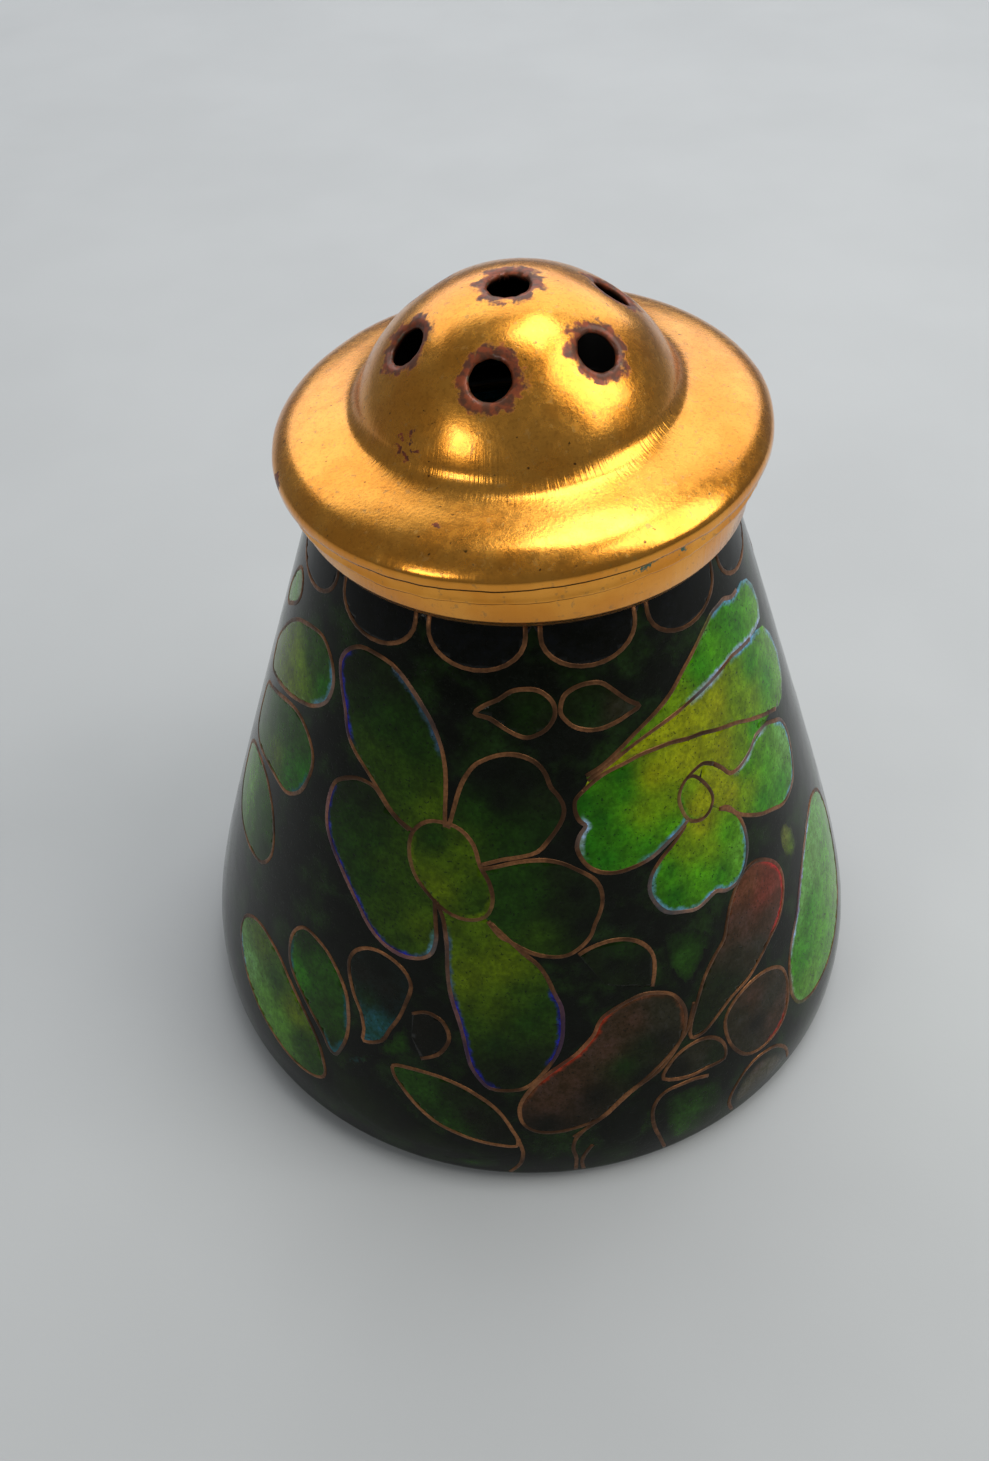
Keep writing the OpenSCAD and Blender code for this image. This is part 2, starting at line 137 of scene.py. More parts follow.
# %% Tools for finishes: nodes
def linear(red, green, blue):
    """A screen colour from 0 to 255 as the linear colour that a shader takes."""
    parts = [c / 255 for c in (red, green, blue)]
    return [p / 12.92 if p <= 0.04045 else ((p + 0.055) / 1.055) ** 2.4 for p in parts] + [1.0]


def put(tree, socket, value):
    """Links a socket where it is given another socket, and sets it where it is given a value."""
    if isinstance(value, bpy.types.NodeSocket):
        tree.links.new(value, socket)
    else:
        socket.default_value = value


def add(tree, kind, inputs=None, **settings):
    """Makes one node with its settings and its inputs."""
    made = tree.nodes.new("ShaderNode" + kind)
    for key, value in settings.items():
        setattr(made, key, value)
    for key, value in (inputs or {}).items():
        put(tree, made.inputs[key], value)
    return made


def feed(tree, shader, **values):
    """Sets or links inputs of the shader, named as in base_color."""
    for key, value in values.items():
        put(tree, shader.inputs[key.replace("_", " ").title().replace("Ior", "IOR")], value)


def new_finish(name):
    """An empty material with its tree, its shader and a place on the object in millimetres."""
    material = bpy.data.materials.new(name)
    material.use_nodes = True
    tree = material.node_tree
    place = add(tree, "TexCoord").outputs["Object"]
    in_mm = add(tree, "Mapping", {"Vector": place, "Scale": (1 / MM,) * 3}).outputs["Vector"]
    return material, tree, tree.nodes["Principled BSDF"], in_mm


# %% Tools for finishes: patterns
def grain(tree, place, size_mm, detail=3.0, rough=0.55):
    """Noise whose grains are about size_mm across."""
    return add(tree, "TexNoise", {
        "Vector": place, "Scale": 1 / size_mm, "Detail": detail, "Roughness": rough,
    }).outputs["Fac"]


def span(tree, value, low, high, to_low=0.0, to_high=1.0):
    """Takes low..high smoothly to to_low..to_high, and holds the ends."""
    return add(tree, "MapRange", {
        "Value": value, "From Min": low, "From Max": high, "To Min": to_low, "To Max": to_high,
    }, interpolation_type="SMOOTHSTEP").outputs["Result"]


def patches(tree, place, size_mm, low, high, to_low=0.0, to_high=1.0, detail=3.0, rough=0.55):
    """Soft patches about size_mm across: grain that is taken through a span."""
    return span(tree, grain(tree, place, size_mm, detail, rough), low, high, to_low, to_high)


def maths(tree, operation, first, second):
    return add(tree, "Math", {0: first, 1: second}, operation=operation).outputs["Value"]


def times(tree, first, second):
    return maths(tree, "MULTIPLY", first, second)


def blend_colours(tree, share, first, second, kind="MIX"):
    """Goes from the first colour to the second as the share goes from 0 to 1."""
    made = add(tree, "Mix", {0: share, 6: first, 7: second}, data_type="RGBA", blend_type=kind)
    return made.outputs[2]


def emboss(tree, shader, height, depth_mm, strength):
    """A bump on top of any bump the shader already has."""
    bump = add(tree, "Bump", {"Height": height, "Distance": depth_mm * MM, "Strength": strength})
    before = shader.inputs["Normal"].links
    if before:
        tree.links.new(before[0].from_socket, bump.inputs["Normal"])
    tree.links.new(bump.outputs["Normal"], shader.inputs["Normal"])


def attribute(tree, name):
    return add(tree, "Attribute", attribute_name=name).outputs


# %% [markdown]
# ## The floor
# A pale sheet of smooth card. It only has to catch the soft shadow, so a plane with faint fibres does.

# %% The floor
CARD_TONES = linear(188, 190, 191), linear(192, 194, 195)
FLOOR_HALF = 0.9

card, tree, shader, place = new_finish("pale_card")
card_tone = blend_colours(tree, patches(tree, place, 30, 0.3, 0.7), *CARD_TONES)
feed(tree, shader, base_color=card_tone, roughness=0.75)
emboss(tree, shader, grain(tree, place, 0.6, 4, 0.6), 0.02, 0.4)

bm = bmesh.new()
bmesh.ops.create_grid(bm, x_segments=1, y_segments=1, size=FLOOR_HALF)
floor_mesh = bpy.data.meshes.new("floor")
bm.to_mesh(floor_mesh)
bm.free()
floor_mesh.materials.append(card)
floor = bpy.data.objects.new("floor", floor_mesh)
bpy.context.scene.collection.objects.link(floor)
floor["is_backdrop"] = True

# %% [markdown]
# ## The wall
# All enamel work lies on one surface: a straight band at the foot that bends softly into a cone and
# runs in to the shoulder. The same formula shapes the solid model, so a point on the wall is known
# from its turn (degrees from the front, to the right) and its height. Each wire and field is first
# thought of as flat and is then wrapped onto this wall, as a pattern is inked on the copper before the
# wires go on.

# %% The wall
ground_low, ground_high = (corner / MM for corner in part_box("ground_enamel"))
BODY_R, WALL_TOP, EDGE_GAP = ground_high.x, ground_high.z, ground_low.z
EDGE_R, STRAIGHT_H, FOOT_BEND = 1.0, 1.9, 4.0
AT_TOP, HALF_STEP = 0.05, 0.05
shoulder_corners = [vert.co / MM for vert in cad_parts["ground_enamel"].data.vertices]
SHOULDER_R = max(c.xy.length for c in shoulder_corners if abs(c.z - WALL_TOP) < AT_TOP)


def bent(rise):
    """How far the wall has bent in, some way above the straight band."""
    return math.hypot(rise, FOOT_BEND) - FOOT_BEND


def wall_radius(z):
    flare = 1.0 if z < STRAIGHT_H else 1 - bent(z - STRAIGHT_H) / bent(WALL_TOP - STRAIGHT_H)
    below = max(0.0, min(EDGE_R, EDGE_GAP + EDGE_R - z))
    return SHOULDER_R + (BODY_R - SHOULDER_R) * flare - (EDGE_R - math.sqrt(EDGE_R**2 - below**2))


def on_wall(turn, z):
    """The point of the wall at a turn and a height, and the direction out of the wall there."""
    angle = math.radians(turn)
    level = Vector((math.sin(angle), -math.cos(angle), 0))
    lean = (wall_radius(z + HALF_STEP) - wall_radius(z - HALF_STEP)) / (2 * HALF_STEP)
    across = Vector((math.cos(angle), math.sin(angle), 0))
    up = (level * lean + Vector((0, 0, 1))).normalized()
    return level * wall_radius(z) + Vector((0, 0, z)), across.cross(up)


print("wall", round(BODY_R, 2), "to", round(SHOULDER_R, 2), "mm in radius,", round(WALL_TOP, 2), "high")

# %% [markdown]
# ## Finishing a piece, and tools for shapes
# A piece is built in millimetres. At the end it is brought to metres, gets its finish, rides on its
# body and stands for the solid node it replaces. A spun piece also has its doubles merged and its faces
# turned outwards. Doing this in one place keeps the pieces alike. The tools for shapes spin a profile
# round the axis, repeat what is made, and draw a smooth curve through a few points.

# %% Finishing a piece
JOINED = 1e-4


def clean(bm):
    """Merges corners that lie on each other and turns all faces outwards."""
    bmesh.ops.remove_doubles(bm, verts=bm.verts, dist=JOINED)
    bmesh.ops.recalc_face_normals(bm, faces=bm.faces)


def finish_piece(bm, name, material, body, node, tidy=True):
    """Turns a bmesh in millimetres into a named piece that rides on its body."""
    if tidy:
        clean(bm)
    bmesh.ops.scale(bm, vec=(MM,) * 3, verts=bm.verts)
    mesh = bpy.data.meshes.new(name)
    bm.to_mesh(mesh)
    bm.free()
    mesh.polygons.foreach_set("use_smooth", [True] * len(mesh.polygons))
    mesh.materials.append(material)
    piece = bpy.data.objects.new(name, mesh)
    bpy.context.scene.collection.objects.link(piece)
    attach(piece, body)
    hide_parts(node)
    print(f"{name}: {len(mesh.vertices)} vertices, {len(mesh.polygons)} faces")


# %% Tools for shapes
def spin_profile(bm, profile, steps, closed=True):
    """Spins a profile of [radius, height] once round the axis. A closed profile makes a solid ring."""
    corners = [bm.verts.new((r, 0, z)) for r, z in profile]
    pairs = list(zip(corners, corners[1:])) + ([(corners[-1], corners[0])] if closed else [])
    edges = [bm.edges.new(pair) for pair in pairs]
    bmesh.ops.spin(
        bm, geom=corners + edges, cent=(0, 0, 0), axis=(0, 0, 1),
        angle=math.tau, steps=steps, use_merge=True,
    )
    clean(bm)


def turned_copy(bm, items, angle):
    """Copies items of a bmesh and turns the copy round the axis."""
    made = bmesh.ops.duplicate(bm, geom=items)
    verts = [item for item in made["geom"] if isinstance(item, bmesh.types.BMVert)]
    turn = Matrix.Rotation(angle, 3, "Z")
    bmesh.ops.rotate(bm, cent=(0, 0, 0), matrix=turn, verts=verts)


def smooth_line(points, steps, closed):
    """A smooth curve through the points, with a number of steps between each two."""
    count = len(points)
    line = []
    for i in range(count if closed else count - 1):
        a, b, c, d = (
            np.array(points[k % count] if closed else points[min(max(k, 0), count - 1)], float)
            for k in (i - 1, i, i + 1, i + 2)
        )
        for t in (j / steps for j in range(steps)):
            squared, cubed = (2 * a - 5 * b + 4 * c - d) * t**2, (3 * b - a - 3 * c + d) * t**3
            line.append((2 * b + (c - a) * t + squared + cubed) / 2)
    return line if closed else line + [np.array(points[-1], float)]


# %% [markdown]
# ## Copper wire and enamel finishes
# The wires are bare copper, browned by the kiln and rubbed bright on their backs. The enamels are
# powdered glass: each field is packed with a few colours of wet powder that melt into each other, and
# in places a light or a cobalt line stays along the wire. The fields carry this painting as attributes
# on their points, `glaze` for the colour, `rim` for the colour and strength of that line, and `edge`
# for the distance to the wire in millimetres. The finish only adds what the kiln does: clouds, specks,
# pinholes and a wavy polish. An image could hold the painting, but attributes need no file.

# %% Copper wire finish
WIRE_TONES, WIRE_SOIL = (linear(72, 48, 30), linear(154, 104, 66)), linear(64, 40, 26)
RIM_ON_WIRE = 0.16

wire_copper, tree, shader, place = new_finish("kiln_browned_copper_wire")
metal = blend_colours(tree, patches(tree, place, 2.6, 0.35, 0.68), *WIRE_TONES)
dull = patches(tree, place, 0.2, 0.35, 0.65, detail=2)
soiled = blend_colours(tree, times(tree, dull, 0.35), metal, WIRE_SOIL)
over = attribute(tree, "rim")
painted = blend_colours(tree, times(tree, over["Alpha"], RIM_ON_WIRE), soiled, over["Color"])
feed(tree, shader, base_color=painted, roughness=span(tree, dull, 0, 1, 0.4, 0.52))
feed(tree, shader, metallic=span(tree, over["Alpha"], 0.2, 0.8, 0.85, 0.7))
emboss(tree, shader, grain(tree, place, 0.12, 2), 0.006, 0.5)
print("wire finish:", wire_copper.name)

# %% Enamel finish
SPECK_COLOUR = linear(10, 14, 6)


def kiln_marks(tree, shader, place, colour, clouds, speck_share, roughness=0.1, ior=1.2):
    """Clouds, specks and pinholes in a fired enamel, and the slight waves that polishing leaves."""
    cloud = patches(tree, place, 1.1, 0.3, 0.7, 1 - clouds, 1 + clouds, 4, 0.6)
    fine = patches(tree, place, 0.26, 0.35, 0.65, 1 - clouds * 0.8, 1 + clouds * 0.5, 3, 0.6)
    tone = times(tree, cloud, fine)
    toned = blend_colours(tree, 1.0, colour, add(tree, "CombineColor", {
        "Red": tone, "Green": tone, "Blue": times(tree, tone, tone),
    }).outputs["Color"], "MULTIPLY")
    speck = patches(tree, place, 0.16, 0.74 - speck_share, 0.8 - speck_share, detail=1, rough=0.4)
    feed(tree, shader, base_color=blend_colours(tree, times(tree, speck, 0.7), toned, SPECK_COLOUR))
    feed(tree, shader, roughness=patches(tree, place, 1.4, 0.3, 0.7, roughness * 0.7, roughness * 1.5))
    feed(tree, shader, ior=ior)
    emboss(tree, shader, grain(tree, place, 2.2, 2, 0.4), 0.05, 0.5)
    emboss(tree, shader, speck, -0.01, 0.5)


painted_enamel, tree, shader, place = new_finish("painted_enamel")
sway = patches(tree, place, 0.5, 0.3, 0.7, -0.08, 0.08, 2)
near_wire = span(tree, maths(tree, "ADD", attribute(tree, "edge")["Fac"], sway), 0.1, 0.42, 1.0, 0.0)
rim = attribute(tree, "rim")
glaze = attribute(tree, "glaze")["Color"]
packed = blend_colours(tree, times(tree, near_wire, rim["Alpha"]), glaze, rim["Color"])
kiln_marks(tree, shader, place, packed, 0.3, 0.08)
print("enamel finish:", painted_enamel.name)

# %% Plain enamels
GROUND_TONES = linear(9, 12, 5), linear(26, 46, 12)
COUNTER_TONES = linear(38, 120, 132), linear(86, 170, 172)

ground_glass, tree, shader, place = new_finish("dark_ground_enamel")
islands = patches(tree, place, 2.4, 0.44, 0.74, detail=4)
kiln_marks(tree, shader, place, blend_colours(tree, islands, *GROUND_TONES), 0.3, 0.1)

black_glass, tree, shader, place = new_finish("black_scallop_enamel")
kiln_marks(tree, shader, place, linear(12, 13, 11), 0.25, 0.04)

counter_glass, tree, shader, place = new_finish("turquoise_counter_enamel")
murk = patches(tree, place, 1.8, 0.35, 0.7, detail=4)
turquoise = blend_colours(tree, murk, *COUNTER_TONES)
kiln_marks(tree, shader, place, turquoise, 0.15, 0.07, roughness=0.2, ior=1.5)
print("enamels:", [m.name for m in bpy.data.materials if "enamel" in m.name])

# %% [markdown]
# ## Palette
# An enameller keeps a shelf of powders and grinds a handful for one pot. These are the powders used
# here, named after what they look like.

# %% Palette
POWDERS = {
    "ink": linear(9, 12, 5), "pine": linear(18, 28, 6), "moss": linear(42, 68, 4),
    "bottle": linear(26, 56, 4), "olive": linear(66, 90, 3), "lime": linear(88, 108, 3),
    "emerald": linear(30, 98, 5), "grass": linear(50, 124, 5), "spring": linear(72, 142, 5),
    "citron": linear(136, 142, 4), "chartreuse": linear(102, 134, 4), "fern": linear(84, 140, 30),
    "mint": linear(96, 150, 66), "haze": linear(124, 140, 108), "straw": linear(108, 116, 46),
    "cobalt": linear(28, 28, 140), "sky": linear(92, 142, 164), "frost": linear(150, 174, 190),
    "mist": linear(60, 84, 104), "turquoise": linear(32, 86, 92), "ember": linear(150, 46, 20),
    "scarlet": linear(172, 34, 30), "russet": linear(64, 44, 30), "umber": linear(42, 40, 27),
    "bark": linear(18, 17, 9), "leaf": linear(33, 68, 9), "clover": linear(20, 42, 6),
    "lilac": linear(146, 140, 184), "rust": linear(96, 54, 28), "brick": linear(110, 46, 30),
    "taupe": linear(74, 70, 54),
}
print(len(POWDERS), "powders")

# %% [markdown]
# ## The pattern
# The outlines are loops of [turn, height]: the turn in degrees from the front, the height in counts
# that run up to the foot of the scallops. They follow the same cells as the solid model, but finer:
# here the petals of a flower meet at shared wires. After each outline come its dabs, [turn, height,
# powder], and its rims, the places along the wire where a light or a cobalt line shows. Where a petal
# runs under the flower's middle its wire is open, and the root closes its field there. A cell without
# a wire is a soft dab of colour in the ground.

# %% The pattern: blossom
def cell(outline, dabs, rims=(), root=(), wired=True):
    """One cell. A root closes its field under the flower's middle, where the wire is left open."""
    return {"outline": outline, "dabs": dabs, "rims": rims, "root": list(root), "wired": wired}


blossom_centre = [
    cell(
        [(-18.5, 68.6), (-15.3, 67.9), (-12.8, 65.9), (-11.4, 62.7), (-9.6, 60.2), (-8.9, 57.2),
         (-10.2, 54.6), (-13.7, 53.7), (-17.8, 54.6), (-21.8, 57.1), (-24.4, 59.5), (-25.8, 62.8),
         (-25.3, 66), (-22.4, 68.2)],
        [(-20.5, 65.9, "bottle"), (-16.1, 61.5, "olive"), (-19.1, 58.3, "lime"), (-12.4, 58.2, "moss"),
         (-11.5, 56.1, "moss"), (-14.1, 64.7, "olive")],
        [(-24.9, 61.7, "lime"), (-11.1, 55.3, "lime")],
    ),
]
blossom_petals = [
    cell(
        [(-18.7, 68), (-18.9, 70.5), (-19, 73.7), (-19.4, 76.8), (-20.5, 79.7), (-22.5, 82.4),
         (-24.4, 84.1), (-28.8, 87), (-34.4, 89.3), (-42.4, 89.7), (-46.6, 88.7), (-49.2, 87),
         (-49.8, 85), (-48, 82.1), (-45.9, 79.4), (-44.3, 76.6), (-41.8, 74.5), (-37.4, 72.3),
         (-33.8, 70.2), (-31.2, 68.4), (-28.4, 67), (-25.1, 66)],
        [(-22.1, 70, "olive"), (-27.4, 72.2, "moss"), (-32.5, 75.4, "moss"), (-37.6, 76.6, "moss"),
         (-27.1, 79.1, "bottle"), (-32.4, 82, "bottle"), (-39.2, 82.3, "clover"),
         (-41.3, 86.8, "pine"), (-34.3, 86.5, "pine"), (-46, 85.4, "pine"), (-25.4, 83.6, "clover"),
         (-35.8, 79.4, "bottle")],
        [(-49.8, 85.3, "cobalt"), (-47.4, 81.6, "cobalt"), (-45.2, 78, "cobalt"),
         (-28.7, 86.8, "mist"), (-25, 84.3, "mist"), (-22.2, 82, "mist")],
        root=[(-21.6, 63.7)],
    ),
    cell(
        [(-18, 67.9), (-17, 71.3), (-16.4, 73.3), (-15.4, 75.5), (-13.4, 77.8), (-11, 79),
         (-8.1, 79.8), (-5.2, 80), (-2.4, 79.6), (0.1, 78.6), (1.8, 77), (2.7, 75.1), (4.2, 73.6),
         (5.2, 72), (5, 70.4), (3.8, 68.8), (2.1, 67.2), (-0.3, 65.3), (-3.9, 64.5), (-7.3, 64),
         (-11.3, 62.9)],
        [(-14, 66.9, "moss"), (-12.1, 70.9, "bottle"), (-6.6, 67.8, "bottle"), (-0.2, 68.8, "clover"),
         (-7.5, 72.9, "ink"), (-2.9, 75.9, "ink"), (1.6, 72.9, "pine"), (-11, 76.8, "ink"),
         (-7.4, 77.8, "ink")],
        root=[(-15, 63.7)],
    ),
    cell(
        [(-11.4, 62.2), (-8.4, 62.8), (-5.4, 63.5), (-2.4, 63.9), (1.2, 63.9), (4.6, 63.1),
         (7.7, 61.6), (10, 60.2), (11.3, 58.5), (11.6, 56.3), (10.9, 54.3), (9.8, 52.5), (8.8, 50.6),
         (6.5, 48.8), (3.9, 47.9), (0.7, 48.1), (-2.4, 49), (-5.5, 50.6), (-7.5, 51.5), (-9.7, 53.9)],
        [(-7.7, 59.4, "bottle"), (-5.8, 54.9, "bottle"), (-2, 58.2, "bottle"), (-1, 51.6, "moss"),
         (2.8, 56.1, "pine"), (6.5, 58.2, "ink"), (7.6, 52.8, "ink"), (3.6, 61.5, "pine"),
         (-2.9, 62, "bottle")],
        root=[(-13.4, 58.3)],
    ),
    cell(
        [(-19.5, 55.7), (-18.2, 53.4), (-17.6, 51.1), (-17.2, 49.1), (-17, 46.9), (-16.8, 44.3),
         (-16.4, 41.7), (-15.7, 39.1), (-14.6, 36.2), (-13.7, 33.3), (-12.9, 30), (-12.1, 27.3),
         (-10.5, 24.9), (-8.9, 23.5), (-6.1, 23.3), (-3.4, 23.9), (-1.3, 25.7), (0.8, 28.4),
         (2.2, 30.8), (3, 33.6), (3.2, 36.6), (3, 39.1), (1.9, 41.6), (0.8, 44.3), (-0.7, 46.6),
         (-2.9, 48.4), (-5.5, 50.6), (-9.2, 53.6)],
        [(-13.6, 50.6, "olive"), (-12.8, 44, "lime"), (-10, 39.6, "olive"), (-6.9, 46.1, "lime"),
         (-12, 35.2, "moss"), (-4, 41.8, "moss"), (-3, 36.3, "bottle"), (0, 39.6, "bottle"),
         (-8, 32.1, "clover"), (-2, 30, "pine"), (-6, 27, "ink"), (-9.1, 27, "pine")],
        [(-17.1, 48.4, "mist"), (-16.5, 42.8, "mist"), (-15.3, 38.5, "cobalt"), (-14, 34.7, "cobalt"),
         (-12.6, 29.4, "cobalt"), (-10.9, 25.5, "cobalt"), (2.6, 39.1, "cobalt"), (3, 35.2, "cobalt"),
         (2.4, 31.6, "cobalt")],
        root=[(-14.4, 57.2)],
    ),
    cell(
        [(-26.2, 66), (-28.4, 66.7), (-31.2, 68.1), (-34.3, 70.1), (-36.4, 70.6), (-39.9, 70.3),
         (-43.3, 69), (-45.4, 67.5), (-46.3, 65), (-46.3, 61.9), (-45.3, 59.3), (-43.2, 57),
         (-40.5, 54.7), (-37.8, 52.3), (-35.4, 50.2), (-33.1, 47.9), (-30.6, 46.2), (-28, 45.2),
         (-24.9, 44.8), (-21.7, 45.4), (-19.8, 46.9), (-19.2, 49.5), (-19.4, 51.6), (-19.7, 54),
         (-19.9, 56.1)],
        [(-27.2, 62.8, "moss"), (-25.8, 56.2, "moss"), (-22.3, 50.7, "olive"), (-29, 51.9, "moss"),
         (-33.7, 61.9, "bottle"), (-34.4, 55.3, "bottle"), (-40.7, 64.3, "bottle"),
         (-39.6, 58.8, "bottle"), (-36.7, 67.4, "pine"), (-42.1, 66.6, "pine"), (-31.1, 59.7, "moss"),
         (-25.5, 47.3, "moss")],
        [(-46.1, 63.6, "cobalt"), (-44.7, 58.8, "cobalt"), (-41.9, 55.8, "cobalt"),
         (-38.9, 53.4, "cobalt"), (-35.8, 50.6, "cobalt"), (-32.8, 47.6, "cobalt"),
         (-29, 45.5, "cobalt"), (-25.1, 44.8, "cobalt"), (-21.7, 45.3, "mist"), (-19.6, 47.3, "sky")],
        root=[(-22.6, 61.7)],
    ),
]
print(len(blossom_petals), "petals in the blossom")

# %% The pattern: orchid
long_ray_top = [
    (10.2, 76), (13.5, 76.9), (17.8, 78.6), (21.6, 80.2), (25.5, 81.5), (29.5, 82.8), (33, 84.2),
    (36.6, 86), (40.1, 87.4), (43.6, 88.8), (46.6, 89.8), (49.5, 90.6), (52.2, 90.7), (55.3, 90.7),
    (57.2, 90.2), (59.5, 89.6), (62.4, 89.5),
]
long_ray_middle = [
    (10.5, 75.3), (16.5, 77.4), (20.5, 78.6), (24.6, 79.5), (28.5, 80.1), (32.4, 80.6), (36.3, 81.1),
    (40.1, 81.5), (43.7, 81.8), (47.3, 82.1), (50.2, 82.3), (53.1, 82.4), (55.8, 82.1), (58.2, 81.8),
    (60.5, 81.5), (62.5, 81.2),
]
long_ray_low = [
    (9.5, 73.9), (11.5, 74.9), (14.5, 75.9), (18.6, 76.5), (22.6, 77), (26.6, 77), (30.6, 76.8),
    (34.6, 76.1), (38.4, 75.6), (42.4, 74.6), (46.2, 73.7), (49.9, 72.7), (53.3, 71.4), (56.6, 70.2),
    (59.8, 69), (63, 67.8), (66, 66.6),
]
orchid_centre = [
    cell(
        [(29.9, 67.3), (30.6, 69.2), (32.6, 70.4), (34.6, 70), (36.4, 68.4), (37.7, 66.6), (38, 64.8),
         (36.4, 63.3), (33.9, 63), (31.2, 64.2)],
        [(32.6, 68.5, "chartreuse"), (34.7, 65.4, "citron"), (36.4, 66.5, "citron")],
        [(30.4, 66.3, "fern")],
    ),
]
orchid_petals = [
    cell(
        long_ray_top,
        [(34, 82.6, "chartreuse"), (42, 85, "grass"), (48, 86, "spring"), (54, 88, "grass"),
         (58, 85, "grass"), (66, 85, "spring"), (70, 83, "fern")],
        [(46, 90, "mint"), (52, 91, "sky"), (60, 90, "sky"), (67, 89, "sky"), (73, 86, "sky"),
         (42, 81.8, "frost"), (47, 82.3, "frost"), (52, 82.6, "frost"), (57, 82.3, "frost"),
         (62, 81.5, "frost"), (68, 80.8, "frost")],
        root=[(66, 89.5), (70, 88.3), (73, 86), (74, 82.5), (71.5, 80.6),
              (67, 80.8)] + long_ray_middle[::-1],
    ),
    cell(
        long_ray_middle,
        [(25, 78.5, "citron"), (35, 79, "citron"), (44, 78, "citron"), (51, 77, "chartreuse"),
         (56, 74, "chartreuse"), (60, 78, "grass"), (66, 73, "grass"), (72, 76, "fern"),
         (74, 70, "fern")],
        [(43, 81, "frost"), (58, 81.5, "sky"), (64, 81, "sky"), (76, 75, "sky"), (77.5, 71, "sky")],
        root=[(67, 80.6), (72, 79), (76, 75.5), (78, 71), (76, 67.5), (71, 65.8),
              (68, 66)] + long_ray_low[::-1],
    ),
    cell(
        [(9.5, 73.9), (7.7, 72.7), (7.5, 71), (8.3, 69.4), (9.4, 68.5), (8.1, 67.2), (7.4, 65.5),
         (8, 63.8), (9.3, 62.2), (11.5, 60.9), (14.8, 60.2), (18.4, 60.3), (22.1, 60.8), (25.7, 62),
         (28.7, 63), (31.3, 64.1)],
        [(8.9, 71.9, "emerald"), (9.1, 65.7, "emerald"), (12.7, 68.9, "emerald"),
         (13, 62.6, "emerald"), (18, 72.1, "grass"), (16.5, 65.9, "grass"), (21.8, 68.1, "chartreuse"),
         (21.3, 62.8, "grass"), (25.1, 73.3, "citron"), (27.2, 68.2, "chartreuse"),
         (26.7, 64.5, "spring"), (32.1, 73.5, "citron"), (17.9, 75, "emerald"), (35.6, 73.7, "citron"),
         (42.7, 71.2, "citron"), (49.6, 69.7, "chartreuse"), (54.5, 69.3, "grass")],
        [(27.8, 62.9, "sky"), (24.2, 61.7, "sky"), (11.4, 66.9, "frost")],
        root=[(32.8, 66.9), (37.4, 71.1), (40, 70), (42.1, 68.4), (43.9, 66.7), (46.5, 66.2),
              (49.3, 66.5), (52, 67.2), (54.4, 68.3), (56.4, 69.2)] + long_ray_low[-2:0:-1],
    ),
    cell(
        [(40, 70), (42.1, 68.4), (43.9, 66.7), (46.5, 66.2), (49.3, 66.5), (52, 67.1), (54.6, 68),
         (56.8, 67.8), (59.9, 67.3), (63.7, 65.6), (67.1, 63.7), (68.8, 60.2), (67.8, 56.3),
         (65.6, 53.4), (62.4, 52.5), (58.4, 52.7), (54.4, 54.3), (50.5, 55.8), (47, 57.6),
         (44.2, 59.3), (41.3, 61.6), (39.1, 62.7)],
        [(39.9, 66.7, "citron"), (43, 63.7, "citron"), (47.8, 61.8, "chartreuse"),
         (49.7, 65.3, "spring"), (52.1, 57.5, "grass"), (56.4, 61.6, "spring"), (59.6, 55.8, "grass"),
         (61.3, 61.2, "fern"), (65.3, 60.9, "mint")],
        [(67, 63, "sky"), (68.6, 60, "sky"), (67.3, 55.3, "sky"), (64, 52.7, "sky"),
         (54.9, 67.8, "frost"), (50.3, 66.5, "frost")],
        root=[(34.6, 66.4), (37.1, 71)],
    ),
    cell(
        [(30.4, 63.4), (27.3, 61.6), (24.3, 60.1), (21.8, 58.1), (20.9, 55.8), (21.6, 53.5),
         (23.6, 51.1), (26.8, 49.9), (30.2, 49.1), (33.4, 49.8), (35, 50), (37.2, 49), (40, 48.9),
         (42.5, 50.2), (44.3, 52.7), (44.8, 55.5), (44.4, 57.9), (43.1, 60.2), (41.3, 62),
         (39.1, 62.7)],
        [(34.2, 62.1, "citron"), (29.9, 59.7, "chartreuse"), (25.5, 57.4, "grass"),
         (25.9, 53, "emerald"), (31.5, 54.2, "spring"), (35.7, 57.7, "chartreuse"),
         (39.4, 57.9, "spring"), (42, 53.4, "fern"), (36.4, 52.1, "grass")],
        [(21.2, 55.7, "sky"), (23.1, 51.8, "sky"), (27.1, 49.6, "sky"), (32, 49.5, "sky"),
         (37.8, 49.1, "sky"), (42.4, 50.3, "sky"), (44.4, 54.1, "sky")],
        root=[(34.2, 66.4)],
    ),
]
middle_stem = [(32.6, 70.4), (35, 71), (37.4, 71.1), (40, 70)]
print(len(orchid_petals), "petals in the orchid")

